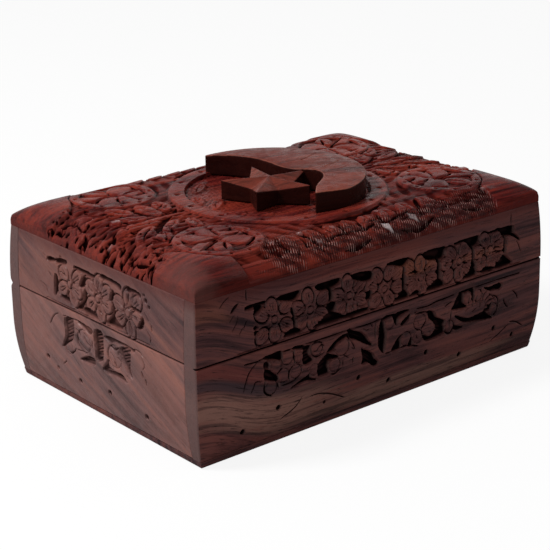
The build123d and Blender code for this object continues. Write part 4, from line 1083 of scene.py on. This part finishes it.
# The crowned top, in mm from the middle of the box
top = {
    "crownWidth": 18.0, "crease": 3.0,  # width of its slopes, and of the creases between them
    "cornerDrop": 6.5, "edgeDrop": 9.8,  # their fall at the plain corners and at the carved edges
    "cornerAlong": 24.0, "cornerAcross": 29.0, "cornerDepth": 9.0, "cornerStep": 0.9,
    "proud": 0.5, "outlineAt": 65.2,  # above the flat, and the height whose outline the top takes
    "ringOuter": 43.6, "ringInner": 37.0, "ringGround": 1.5, "ringLeafRise": 0.9,
    "ringLine": (0.3, 0.6, 0.5),  # distance out from the ring, width and depth
    "ringChips": (3.2, 1.5, 0.6), "ringChipDepth": 0.25,  # length, width and turn of small chips
    "dots": (40.4, 0.9, 0.9),  # distance from the middle, radius and depth
    "medallions": [(-57, -34.5, 1, 1), (57, -33.5, -1, 1), (-54, 37.5, 1, -1), (57.5, 34, -1, -1)],
    "medallionRadius": 17.0, "scoop": (7.5, 1.9), "cutEase": 0.45, "farDepth": 0.7,
    "combChips": (1.7, 3.0, 0.25), "combDepth": 0.45, "facetDepth": 0.9,
    "waves": 0.07, "waveSize": 22, "edge": 0.8,
    "pitch": 0.36, "kept": 0.56,  # size of a cell of the sheet, and the share of its faces kept
}


def crownFall(fromEnd, drop):  # how far the crown has fallen, by the distance in from the edge
    radius = (top["crownWidth"] ** 2 + drop ** 2) / (2 * drop)
    d = np.clip(top["crownWidth"] - fromEnd, 0, top["crownWidth"])
    return radius - np.sqrt(radius ** 2 - d ** 2)


def softMax(a, b, k):  # the larger of the two, with the crease between them rounded over
    return np.maximum(a, b) + np.clip(k - np.abs(a - b), 0, None) ** 2 / (4 * k)


rosette = {  # strokes of a medallion about its middle, in mm
    "band": 3.6, "discDepth": 0.8, "longer": 1.06, "wider": 1.14, "shape": (-0.05, -0.8, 9.0),
    "lensDepth": 1.3, "dotsIn": 1.9, "dot": (0.6, 0.6),
    "petals": [
        (-5.2, 6.6, 6.4, 4.2, 2.25), (1.6, 9.0, 6.2, 2.9, 1.62), (7.6, 8.2, 5.8, 3.2, 0.85),
        (7.4, 2.2, 5.6, 2.6, 0.1), (6.4, -4.8, 6.6, 4.4, -0.72), (-3.6, -7.4, 5.6, 3.2, -2.0),
        (-8.6, -2.2, 6.2, 3.0, -2.75),
    ],
    "lenses": [
        ([(-10.2, 3.4), (-5.6, 0.8), (0.4, 1.8)], 2.2),
        ([(-3.6, 11.2), (-2.4, 7.4), (-0.4, 4.4)], 1.6),
        ([(4.2, 10.8), (3.6, 6.6), (3.0, 2.8)], 1.5), ([(6.4, 7.4), (9.4, 6.2), (11.6, 7.6)], 2.4),
        ([(3.6, 2.4), (7.4, 1.0), (11.2, 2.0)], 1.8),
        ([(-13.2, -6.6), (-7.2, -3.6), (0.2, 0.8)], 2.2),
        ([(-4.4, -10.6), (-2.2, -6.6), (0.6, -3.0)], 1.6),
        ([(4.2, -10.6), (8.8, -8.6), (12.4, -5.6)], 1.8),
        ([(11.6, 4.4), (12.8, 0.4), (11.8, -3.0)], 1.5),
    ],
}
foliage = {  # leaves left standing in a sunk ground: foot, tip and width in mm
    "ground": 1.2, "margin": 6.5,
    "ends": [  # at the left end; mirrored to the right
        ((-54.5, 4.5), (-55.5, 20), 6.5), ((-48.5, 7.5), (-47, 19.5), 6),
        ((-62, 12), (-67.5, 23), 6.5), ((-60, 5.3), (-75, 9.5), 5.5),
        ((-51.5, 0.2), (-80, -1.5), 4.8), ((-53, -4), (-65, -13), 4.6),
        ((-64.5, -4.8), (-78, -13.5), 4.8), ((-65, -12.5), (-71, -22), 6),
        ((-48.5, -5.5), (-51, -16.5), 5.5), ((-75, 20.5), (-85.5, 20.5), 8.5),
        ((-76, -19.5), (-85.5, -20.5), 7), ((-75.5, -27.5), (-84.5, -28), 5.5),
    ],
    "sides": [  # along the front; mirrored to the back
        ((-36, -45.5), (-35, -56.5), 8.5), ((-25.5, -46), (-25, -56.5), 7.5),
        ((-16, -46), (-15, -56.5), 7), ((-7.5, -46.5), (-7, -56.5), 6.5),
        ((2, -46.5), (2, -56.5), 8), ((12, -46), (13.5, -56.5), 7.5),
        ((22, -45), (23.5, -56.5), 7.5), ((33, -44.5), (36, -56.5), 8),
    ],
}
leavesOnTop = [((s * x, y), (s * u, v), width)
               for s in (1, -1) for (x, y), (u, v), width in foliage["ends"]]
leavesOnTop += [((x, s * y), (u, s * v), width)
                for s in (1, -1) for (x, y), (u, v), width in foliage["sides"]]
topCuts = {  # strokes of the gouge: width, depth and points
    "left": [
        (3.6, 1.5, [(-51.5, 1.2), (-57, -1.5), (-62.5, -6.5), (-67.5, -11.5)]),
        (2.2, 1.3, [(-62.5, 21), (-59.5, 16), (-58.5, 10), (-56, 5.5), (-54.5, 3.5)]),
        (1.0, 0.8, [(-52.5, 19), (-51.3, 13), (-52.5, 8)]),
        (1.3, 1.0, [(-51.5, 12), (-49, 12.8), (-46.5, 14.5)]),
        (2.4, 1.6, [(-52, 8.5), (-49.5, 4.8), (-47.5, 5), (-45, 7.5)]),
        (2.2, 1.3, [(-74, 5.5), (-70.5, 2.8), (-65, 2.2), (-60, 3.6)]),
        (1.4, 1.1, [(-77, 12.5), (-75.5, 9), (-75, 6)]),
        (1.8, 1.1, [(-75, 24.5), (-71.5, 18), (-70, 13.5)]),
        (2.0, 1.1, [(-65.5, 19), (-63.5, 14.5)]), (1.6, 1.1, [(-79, 11.2), (-75.5, 11)]),
        (2.4, 2.0, [(-83.8, 29), (-81.3, 24.5)]), (2.8, 2.2, [(-87, 8.2), (-83.2, 12.8)]),
        (3.4, 2.4, [(-86, -4.8), (-79.5, -1.4)]), (2.8, 2.4, [(-87, -16.4), (-80.2, -15)]),
        (2.4, 2.0, [(-85.2, -22.5), (-84.2, -30)]),
        (1.4, 1.0, [(-81, 22), (-82.2, 16), (-80.5, 12)]),
        (1.4, 1.0, [(-80.8, -7), (-80.4, -13.5)]), (1.0, 0.8, [(-71, -3), (-76, -4.3), (-82, -8)]),
        (1.2, 1.0, [(-67.5, -6.5), (-73, -11), (-77.5, -17)]),
        (1.6, 1.1, [(-72.5, -15), (-71.5, -22)]), (1.8, 1.2, [(-61, -11.5), (-63.5, -16)]),
        (2.0, 1.4, [(-62, -16.5), (-58, -14.8), (-54.5, -13.3)]),
        (1.4, 1.0, [(-72.5, -25), (-67, -20.5), (-61, -17)]),
        (1.4, 1.1, [(-52.5, -5.5), (-47.5, -2)]), (1.4, 1.0, [(-47, -9.5), (-45.8, -14.5)]),
        (1.0, 0.8, [(-53, -8), (-53.5, -14)]), (1.4, 1.0, [(-44, -14.5), (-45, -18.5)]),
        (1.6, 1.2, [(-80, -24), (-78, -31)]), (1.0, 0.7, [(-85, 2), (-80, 4)]),
        (1.0, 0.7, [(-86, -10), (-81, -9)]),
    ],
    "front": [
        (3.0, 1.5, [(-21, -40.9), (-14, -43.9), (-5, -45.6), (2, -46), (9, -44.8), (16, -42.0)]),
        (2.2, 1.3, [(-4.5, -45.5), (-2.5, -49)]),
        (2.6, 1.4, [(-30.5, -46), (-28.2, -51), (-26, -57.5)]),
        (2.0, 1.3, [(-44.5, -50), (-44.8, -56)]), (1.4, 1.0, [(-19, -46), (-17.5, -53)]),
        (1.2, 1.0, [(-11, -46.5), (-10, -53)]), (1.8, 1.3, [(-2.5, -54.2), (3, -53)]),
        (1.4, 1.1, [(1.5, -51.5), (6, -50.9)]), (2.0, 1.4, [(9.5, -54), (15, -52.7), (22, -51.8)]),
        (2.8, 1.5, [(31.5, -45.5), (28, -51.5)]),
        (1.5, 2.0, [(-17, -59.0), (-10, -58.8), (-3, -58.0)]),
        (1.7, 2.0, [(12.5, -58.0), (21, -58.8), (31, -56.8)]),
        (1.6, 1.0, [(-21, -54), (-12, -53.4), (-5, -54)]), (1.4, 1.0, [(8, -47), (7.5, -51)]),
        (1.2, 0.9, [(17.5, -45), (17.8, -51)]), (1.2, 0.9, [(25.5, -44.5), (26, -52)]),
        (1.4, 1.1, [(-39.5, -45), (-41, -52)]), (1.4, 1.2, [(39, -46), (43, -54)]),
        (1.3, 1.4, [(46, -57), (56, -58.5)]),
    ],
    "right": [
        (2.8, 2.0, [(68.5, 4), (73.5, 6.5), (79, 12), (84.5, 20.5)]),
        (3.0, 1.5, [(63, 2), (67, -0.8), (72, -3.8)]),
        (2.0, 1.3, [(49.5, 4.5), (55, 5.5), (61, 9.5)]),
        (2.4, 1.6, [(71.5, -25.5), (77, -22), (81.5, -15)]), (1.4, 1.2, [(42, -12), (46, -8.5)]),
        (1.8, 1.3, [(42.5, -16.5), (45, -14)]), (1.6, 1.1, [(48, -14.5), (52, -13)]),
        (1.4, 1.1, [(59.5, -13.5), (62.5, -11)]), (1.4, 1.0, [(55, -17), (60, -14.8)]),
        (1.4, 1.0, [(53, -1), (57, -2.5)]), (1.2, 0.9, [(67, 18), (72, 14.5), (75, 9)]),
        (1.2, 0.9, [(70, -8), (76, -10), (81, -4)]), (1.2, 0.9, [(70, -13), (76, -15), (82, -9)]),
        (2.2, 1.8, [(86, 2), (80, 5)]), (2.0, 1.6, [(86, -9), (81, -11)]),
    ],
}
facets = [  # flats left by a chip: middle, size, slope to the left, and shine, which sets the painted highlight and the gloss on it
    (7.0, -56.0, 4.0, 0.75, 0.8), (21.2, -55.2, 4.0, 0.7, 0.5), (-72.0, 9.0, 3.6, 0.45, 0.25),
    (77.5, -27.0, 4.0, 0.5, 0.4), (-29.5, -47.5, 2.6, 0.6, 0.2), (-25.5, -54.0, 2.8, 0.7, 0.2),
    (-43.6, -48.4, 2.6, 0.6, 0.15), (-15.0, -49.4, 2.6, 0.6, 0.2), (-83.4, -3.6, 2.4, 0.6, 0.2),
    (9.5, -46.6, 2.2, 0.6, 0.2), (64.0, -52.0, 3.2, 0.6, 0.1),
]
combs = [  # patches of comb strokes: middle and reach
    (-42, -54, 10, 10), (-25, -57, 9, 9), (-10, -56, 10, 9), (6, -57, 9, 9), (20, -58, 10, 9),
    (35, -56, 11, 9), (53, -57, 15, 9), (72, -50, 10, 10), (78, 4, 9, 14), (-20, 54, 9, 6),
    (12, 55, 12, 5), (44, 55, 9, 6),
]
torn = {  # the rough left end; its corner stays plain, and the marks by the edge are steeper
    "x": (-88.4, -66), "y": (-45, 34), "marks": 130, "size": (1.6, 4.6), "depth": (0.5, 1.5),
    "cornerX": -74, "cornerY": -36, "steepX": -85, "steep": 2.0,
}
endStrokes = {
    "spacing": 5.5, "in": (2.5, 9), "run": (2, 4), "drift": (-1, 2.5), "width": (1.0, 1.8),
    "depth": (0.4, 0.9), "ends": 0.8,
}
leavesInRing = [  # foot, tip and width
    (-33, -2, -24, 8, 5), (-34, 6, -30, 16, 5), (-30, -12, -20, -22, 5), (-34, -6, -27, -14, 4),
    (-26, 20, -16, 29, 5), (-16, -29, -6, -33, 4), (22, -26, 30, -16, 4),
]


def leafShare(sheet, foot, tip, width, soft):  # 1 on a leaf, with the place along and across it
    (x0, y0), (x1, y1) = foot, tip
    u, v, at = patchOf(sheet, *around([foot, tip], width))
    length = math.hypot(x1 - x0, y1 - y0)
    dx, dy = (x1 - x0) / length, (y1 - y0) / length
    a = ((u - x0) * dx + (v - y0) * dy) / length
    b = (v - y0) * dx - (u - x0) * dy + 0.07 * width * np.sin(np.pi * a)
    half = width / 2 * np.sqrt(np.clip(4 * a * (1 - a), 0, 1)) + 1e-3
    edge = np.minimum(half - np.abs(b), np.minimum(a, 1 - a) * length)
    return np.clip(edge / soft + 0.5, 0, 1), np.clip(a, 0, 1), np.clip(b / half, -1, 1), at


veins = {  # a leaf is tilted and lower at its foot; then its side veins and its midrib
    "tilt": 0.14, "footDrop": 0.30, "longLeaf": 14, "reach": 2.2, "spread": 0.34,
    "width": (0.7, 1.1), "depth": (0.25, 0.5), "midrib": (0.8, 0.45),
}


def veinLeaf(sheet, foot, tip, width, rng):
    share, a, across, at = leafShare(sheet, foot, tip, width, top["cutEase"])
    sheet["h"][at] -= share * (veins["tilt"] * (1 + across) + veins["footDrop"] * (1 - a))
    (x0, y0), (x1, y1) = foot, tip
    dx, dy = x1 - x0, y1 - y0
    length = math.hypot(dx, dy)
    nx, ny = -dy / length, dx / length
    for k in np.linspace(0.25, 0.75, 3 if length < veins["longLeaf"] else 4):
        side = rng.choice((-1, 1))
        k += rng.uniform(-0.06, 0.06)
        start = (x0 + dx * k, y0 + dy * k)
        end = (start[0] + dx / length * veins["reach"] + side * nx * width * veins["spread"],
               start[1] + dy / length * veins["reach"] + side * ny * width * veins["spread"])
        gouge(sheet, [start, end], rng.uniform(*veins["width"]), rng.uniform(*veins["depth"]))
    midrib = [(x0 + dx * k + nx * bow, y0 + dy * k + ny * bow)
              for k, bow in ((0.1, 0), (0.5, 0.4), (0.88, 0))]
    gouge(sheet, midrib, *veins["midrib"])


def chips(x, y, along, across, turn, seed):  # a field of small gouge marks, 0 to 1
    c, s = np.cos(turn), np.sin(turn)
    a, b = (x * c + y * s) / along, (y * c - x * s) / across
    row = np.floor(b)
    a = a + 0.5 * (row % 2)
    col = np.floor(a)
    noise = np.modf(np.abs(np.sin(col * 127.1 + row * 311.7 + seed) * 43758.5453))[0]
    noise2 = np.modf(np.abs(np.sin(col * 269.5 + row * 183.3 + seed) * 24634.6345))[0]
    fa, fb = a - col - 0.5 + 0.16 * (noise - 0.5), b - row - 0.5 + 0.3 * (noise2 - 0.5)
    mark = np.clip(1 - (fa / 0.48) ** 2 - (fb / 0.36) ** 2, 0, 1)
    return mark * (0.35 + 0.65 * noise)


def carveMedallion(sheet, mx, my, sx, sy):
    radius = top["medallionRadius"]
    u, v, at = patchOf(sheet, mx - radius - 2, mx + radius + 2, my - radius - 2, my + radius + 2)
    d = np.hypot(u - mx, v - my)
    inside = np.clip((radius - d) / 0.8 + 0.5, 0, 1)
    disc = np.clip((radius - rosette["band"] - d) / top["cutEase"] + 0.5, 0, 1)
    rim = np.clip(1 - np.abs(d - radius - 0.2) / 0.6, 0, 1)
    sheet["h"][at] = sheet["h"][at] * (1 - inside) - rosette["discDepth"] * disc - 0.6 * rim
    for px, py, length, width, turn in rosette["petals"]:
        turned = math.atan2(math.sin(turn) * sy, math.cos(turn) * sx)
        raisePetal(sheet, mx + px * sx, my + py * sy, length * rosette["longer"],
                   width * rosette["wider"], turned, *rosette["shape"])
    for points, width in rosette["lenses"]:
        path = [(mx + px * sx, my + py * sy) for px, py in points]
        gouge(sheet, path, width, rosette["lensDepth"], 0.7)
    dots = radius - rosette["dotsIn"]
    for a in np.radians(np.arange(10, 370, 30)):
        pit(sheet, mx + dots * math.cos(a), my + dots * math.sin(a), *rosette["dot"])


def carveTop():
    inset = float(insetAt(top["outlineAt"]))
    halfX, halfY = box["halfLength"] - inset, box["halfWidth"] - inset
    sheet = newSheet(-halfX, halfX, -halfY, halfY, top["pitch"])
    x, y = np.meshgrid(sheet["u"], sheet["v"])
    endX, endY = halfX - np.abs(x), halfY - np.abs(y)
    full, low = (softMax(crownFall(endX, top[drop]), crownFall(endY, top[drop]), top["crease"])
                 for drop in ("cornerDrop", "edgeDrop"))
    # plain corners keep the full height; a slanting step parts them from the carved-down edges
    alongEdge, acrossEdge = top["cornerAlong"] - endX, top["cornerAcross"] - endY
    slant = (top["cornerAlong"] * 0.8 + top["cornerDepth"] * 0.6) - (0.8 * endX + 0.6 * endY)
    inCorner = np.minimum(np.minimum(alongEdge, acrossEdge), slant)
    corner = np.clip(inCorner / top["cornerStep"] + 0.5, 0, 1)
    fall = low + (full - low) * corner
    r = np.hypot(x, y)

    # the sunk ground about the ring and the medallions, with the leaves left standing
    ground = np.clip((r - top["ringOuter"]) / 1.0, 0, 1) * (1 - corner)
    fromSide = np.minimum(box["halfLength"] - np.abs(x), box["halfWidth"] - np.abs(y))
    ground *= np.clip((fromSide - foliage["margin"]) / 1.6 + 0.5, 0, 1)
    for mx, my, _, _ in top["medallions"]:
        ground *= np.clip((np.hypot(x - mx, y - my) - top["medallionRadius"]) / 1.0, 0, 1)
    scoops = chips(x, y, *top["scoop"], np.arctan2(y, x * 0.6), 3)
    sheet["h"] -= foliage["ground"] * ground * (0.7 + 0.5 * scoops)
    for foot, tip, width in leavesOnTop:
        share, _, _, at = leafShare(sheet, foot, tip, width, top["cutEase"])
        sheet["h"][at] *= 1 - share
    rng = np.random.default_rng(7)
    for foot, tip, width in leavesOnTop:
        veinLeaf(sheet, foot, tip, width, rng)
    for side in ("left", "front", "right"):
        for width, depth, points in topCuts[side]:
            u, v, at = patchOf(sheet, *around(points, width + 1))
            before = sheet["h"][at].copy()
            gouge(sheet, points, width, depth)
            # a cut goes to its own depth, not deeper where the ground is already sunk
            sheet["h"][at] = np.maximum(sheet["h"][at], np.minimum(before, -depth))
    for width, depth, points in topCuts["front"]:
        gouge(sheet, [(px, -py) for px, py in points], width, top["farDepth"] * depth)
    for _ in range(torn["marks"]):
        # the power keeps most of them by the edge
        tx = torn["x"][0] + (torn["x"][1] - torn["x"][0]) * rng.uniform() ** 1.8
        ty = rng.uniform(*torn["y"])
        turn, size = rng.uniform(-0.9, 1.4), rng.uniform(*torn["size"])
        reach = size * rng.uniform(0.5, 1.1)
        path = [(tx, ty), (tx + reach * math.cos(turn), ty + reach * math.sin(turn))]
        if ty > torn["cornerY"] or tx > torn["cornerX"]:
            steep = torn["steep"] if tx < torn["steepX"] else 1.0
            gouge(sheet, path, size * 0.6, steep * rng.uniform(*torn["depth"]), 0.6)
    sheet["glint"] = np.zeros_like(x)
    for fx, fy, size, slope, shine in facets:
        u, v, at = patchOf(sheet, fx - size, fx + size, fy - size, fy + size)
        d = (np.abs(u - fx + 0.5 * (v - fy)) * 1.5 + np.abs(v - fy) * 0.7) / (size / 2)
        share = np.clip((1 - d) * 3, 0, 1)
        flat = (u - fx + size / 2) * slope - top["facetDepth"]
        sheet["h"][at] += share * (flat - sheet["h"][at])
        sheet["glint"][at] = np.maximum(sheet["glint"][at], shine * share)

    # patches of short comb strokes, on which the finish paints highlights and shade
    sheet["comb"] = np.zeros_like(x)
    for cx, cy, rx, ry in combs:
        share = np.clip(2.2 - 2.2 * np.hypot((x - cx) / rx, (y - cy) / ry), 0, 1) * (1 - corner)
        sheet["comb"] = np.maximum(sheet["comb"], share * np.clip(endY / 0.3, 0.4, 1))
    sheet["h"] -= top["combDepth"] * sheet["comb"] * chips(x + 0.35 * y, y, *top["combChips"], 5)
    for side in (-1, 1):  # short strokes along both ends
        for gy in np.arange(-30, 31, endStrokes["spacing"]):
            gx = side * (halfX - rng.uniform(*endStrokes["in"]))
            path = [(gx, gy), (gx - side * rng.uniform(*endStrokes["run"]),
                               gy + rng.uniform(*endStrokes["drift"]))]
            gouge(sheet, path, rng.uniform(*endStrokes["width"]),
                  rng.uniform(*endStrokes["depth"]), endStrokes["ends"])

    # ring: a flat band, sunk ground inside it, and a deep line outside
    inner, onRing = (np.clip((top[edge] - r) / top["cutEase"] + 0.5, 0, 1)
                     for edge in ("ringInner", "ringOuter"))
    sheet["h"] = sheet["h"] * (1 - onRing) - top["ringGround"] * inner * onRing
    sheet["h"] -= top["ringChipDepth"] * inner * chips(x, y, *top["ringChips"], 9)
    out, width, depth = top["ringLine"]
    sheet["h"] -= depth * (1 - np.clip(np.abs(r - top["ringOuter"] - out) / width, 0, 1))
    for x0, y0, x1, y1, width in leavesInRing:
        share, _, _, at = leafShare(sheet, (x0, y0), (x1, y1), width, 0.8)
        sheet["h"][at] += top["ringLeafRise"] * share
        veinLeaf(sheet, (x0, y0), (x1, y1), width, rng)
    dots, *size = top["dots"]
    for a in np.radians(np.arange(6, 366, 24)):
        pit(sheet, dots * math.cos(a), dots * math.sin(a), *size)

    for mx, my, sx, sy in top["medallions"]:
        carveMedallion(sheet, mx, my, sx, sy)
    sheet["relief"] = sheet["h"] + 1.1 * inner * onRing  # the ring's ground takes the polish too, and less of the cuts' stain and painted shade
    unevenness(sheet, 11, top["waveSize"], top["waves"])
    easeEdges(sheet, top["edge"])

    def place(u, v, h):
        col, row = np.searchsorted(sheet["u"], u - 1e-6), np.searchsorted(sheet["v"], v - 1e-6)
        return np.stack([u, v, box["flat"] + top["proud"] - fall[row, col] + h], axis=1)

    board = meshFrom("LidTopBoard", sheet, place)
    applied(board, "DECIMATE", ratio=top["kept"])
    closeBehind(board, 2, box["seam"])
    finishPiece(board, "lid", "rosewood", topWood, "lid_top_board")


carveTop()
print("top carved")


# Crescent and star
moon = {
    "voxel": 0.4, "rounding": 9, "starVoxel": 0.32, "starRounding": 3,
    "nicks": [  # knife cuts across it: depth, width and points
        (0.5, 0.9, [(16.4, -10), (21.5, -9), (26.6, -6.4)]),
        (0.4, 0.8, [(15.7, 3.9), (20.5, 5), (27.5, 8.3)]),
        (0.3, 0.7, [(21.5, 17.4), (26.5, 19.2)]), (0.3, 0.7, [(18, -16), (23, -15)]),
    ],
}


def copyOfNode(node, name):
    bpy.ops.object.select_all(action="DESELECT")
    piece = frame["nodes"][node].copy()
    piece.data = piece.data.copy()
    piece.parent = None
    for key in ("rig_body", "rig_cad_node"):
        del piece[key]
    bpy.context.scene.collection.objects.link(piece)
    piece.name = piece.data.name = name
    bpy.context.view_layer.objects.active = piece
    piece.select_set(True)
    bpy.ops.object.mode_set(mode="EDIT")
    bpy.ops.mesh.select_all(action="SELECT")
    bpy.ops.mesh.remove_doubles(threshold=1e-5)
    bpy.ops.object.mode_set(mode="OBJECT")
    return piece


def rounded(piece, voxel, times):
    applied(piece, "REMESH", mode="VOXEL", voxel_size=voxel * mm)
    applied(piece, "SMOOTH", factor=0.5, iterations=times)


def nick(piece, depth, width, points):  # a knife cut across a flat top
    co = pointsOf(piece.data)
    d, _ = nearLine(co[:, 0] / mm, co[:, 1] / mm, np.array(points, float))
    onTop = co[:, 2] > co[:, 2].max() - 1.5 * mm
    co[:, 2] -= np.where(onTop, depth * np.clip(1 - d / (width / 2), 0, 1), 0) * mm
    movePoints(piece.data, co)


crescent = copyOfNode("crescent", "Crescent")
rounded(crescent, moon["voxel"], moon["rounding"])
for depth, width, points in moon["nicks"]:
    nick(crescent, depth, width, points)
bpy.ops.object.shade_smooth()
finishPiece(crescent, "lid", "carved_rosewood", moonWood, "crescent")
star = copyOfNode("star", "Star")
rounded(star, moon["starVoxel"], moon["starRounding"])
bpy.ops.object.shade_smooth()
finishPiece(star, "lid", "carved_rosewood", starWood, "star")
print("crescent and star made")


# Velvet lining
lining = {"cuts": 22, "rolled": 3.0, "drop": 0.45, "waves": 0.05, "bevel": 0.2}


def liningPanel(name, node, body):  # velvet on thin card, pulled down and rolled under at its rim
    low, high = (np.array(corner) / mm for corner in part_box(node))
    size, middle = high - low, (low + high) / 2
    thin = int(np.argmin(size))
    bpy.ops.object.select_all(action="DESELECT")
    bpy.ops.mesh.primitive_cube_add(size=1, location=middle * mm, scale=size * mm)
    panel = bpy.context.object
    panel.name = panel.data.name = name
    bpy.ops.object.transform_apply(location=True, rotation=True, scale=True)
    bpy.ops.object.mode_set(mode="EDIT")
    bpy.ops.mesh.select_all(action="SELECT")
    bpy.ops.mesh.subdivide(number_cuts=lining["cuts"])
    bpy.ops.object.mode_set(mode="OBJECT")
    co = pointsOf(panel.data) / mm
    flat = [axis for axis in range(3) if axis != thin]
    rim = np.minimum(*[size[axis] / 2 - np.abs(co[:, axis] - middle[axis]) for axis in flat])
    fall = lining["drop"] * np.clip(1 - rim / lining["rolled"], 0, 1) ** 2.4
    a, b = (co[:, axis] for axis in flat)
    wave = lining["waves"] * np.sin(a / 4.1 + 1.3 * np.sin(b / 6.3)) * np.clip(rim / 3, 0, 1)
    inward = 1.0 if thin == 2 and body == "base" else -np.sign(middle[thin])
    share = np.clip((co[:, thin] - middle[thin]) * inward / size[thin] + 0.5, 0, 1)
    co[:, thin] -= inward * share * (fall + lining["waves"] + wave)
    movePoints(panel.data, co * mm)
    applied(panel, "BEVEL", width=lining["bevel"] * mm, segments=3, limit_method="ANGLE",
            angle_limit=creaseAngle)
    bpy.ops.object.shade_smooth()
    finishPiece(panel, body, "velvet", velvet, node)


for piece, node, body in (
        ("FloorVelvet", "floor_lining", "base"), ("FrontVelvet", "front_lining", "base"),
        ("BackVelvet", "back_lining", "base"), ("LeftVelvet", "left_lining", "base"),
        ("RightVelvet", "right_lining", "base"), ("LidVelvet", "lid_lining", "lid")):
    liningPanel(piece, node, body)

for node, material in (
        ("bottom_board", bottomWood), ("bottom_brads", steel),
        ("left_hinge_base_leaf", brass), ("right_hinge_base_leaf", brass),
        ("left_hinge_lid_leaf", brass), ("right_hinge_lid_leaf", brass),
        ("left_hinge_pin", brass), ("right_hinge_pin", brass),
        ("base_hinge_screws", brass), ("lid_hinge_screws", brass)):
    part = frame["nodes"][node]
    for slot in part.material_slots:
        slot.material = material
print("lining and fittings finished")


# Floor, light and camera
light = {
    "sky": 0.42, "keyPower": 12.0, "keySize": 0.26, "keyPlace": (-0.75, 0.30, 0.95),
    "floor": (0.55, 0.55, 0.55, 1), "floorSeen": (0.95, 0.95, 0.95, 1), "floorGlow": 0.88,
}

bpy.ops.object.select_all(action="DESELECT")
bpy.ops.mesh.primitive_plane_add(size=6, location=(0, 0, 0))
floor = bpy.context.object
floor.name = "Floor"
paint, w, shader = newMaterial("PaleFloor")
eyeRay = w.add("LightPath").outputs["Is Camera Ray"]
# near white to the camera, plainer in the light it throws back
colour = w.add("Mix", data_type="RGBA", Factor=eyeRay)
for i, shade in ((6, light["floor"]), (7, light["floorSeen"])):
    colour.inputs[i].default_value = shade
w.put(shader, Base_Color=colour.outputs[2], Roughness=0.9, Specular_IOR_Level=0.0)
blend = w.add("MixShader")
glow = w.add("Emission", Color=(1, 1, 1, 1))
for i, part in enumerate((w.reckon("MULTIPLY", eyeRay, light["floorGlow"]), shader.outputs[0],
                          glow.outputs[0])):
    w.join(part, blend.inputs[i])
w.join(blend.outputs[0], paint.node_tree.nodes["Material Output"].inputs["Surface"])
floor.data.materials.append(paint)

world = bpy.data.worlds.new("Studio")
bpy.context.scene.world = world
w = Wiring(world)
path = w.add("LightPath").outputs
direct = w.reckon("MAXIMUM", path["Is Camera Ray"], path["Is Glossy Ray"])
direct = w.reckon("MAXIMUM", direct, path["Is Transmission Ray"])
strength = w.add("MapRange", Value=direct, To_Min=light["sky"], To_Max=1.0)
w.put(world.node_tree.nodes["Background"], Color=(1, 1, 1, 1), Strength=strength.outputs[0])

bpy.ops.object.light_add(type="AREA", location=light["keyPlace"])
key = bpy.context.object
key.name = "Key"
key.data.energy = light["keyPower"]
key.data.size = light["keySize"]
key.rotation_euler = (-Vector(light["keyPlace"])).to_track_quat("-Z", "Y").to_euler()

camera = {  # angles in degrees, the middle of the box from the eye in mm, the picture in pixels
    "azimuth": -39.515, "elevation": 19.679, "roll": -0.993, "focalPixels": 1646.0, "pixels": 550,
    "shift": (2.320, -35.260, 681.244), "sensor": 36,
}
a, e, r = (math.radians(camera[k]) for k in ("azimuth", "elevation", "roll"))
back = Vector((math.sin(a) * math.cos(e), -math.cos(a) * math.cos(e), math.sin(e)))
right = Vector((0, 0, 1)).cross(back).normalized()
up = back.cross(right)
right, up = right * math.cos(r) + up * math.sin(r), up * math.cos(r) - right * math.sin(r)
tx, ty, tz = camera["shift"]
bpy.ops.object.camera_add()
eye = bpy.context.object
eye.matrix_world = Matrix.Translation((back * tz - right * tx - up * ty) * mm) @ Matrix(
    (right, up, back)).transposed().to_4x4()
eye.data.sensor_width = camera["sensor"]
eye.data.lens = camera["focalPixels"] / camera["pixels"] * camera["sensor"]
eye.data.clip_start, eye.data.clip_end = 0.01, 20
bpy.context.scene.camera = eye
bpy.context.scene.view_settings.view_transform = "Standard"
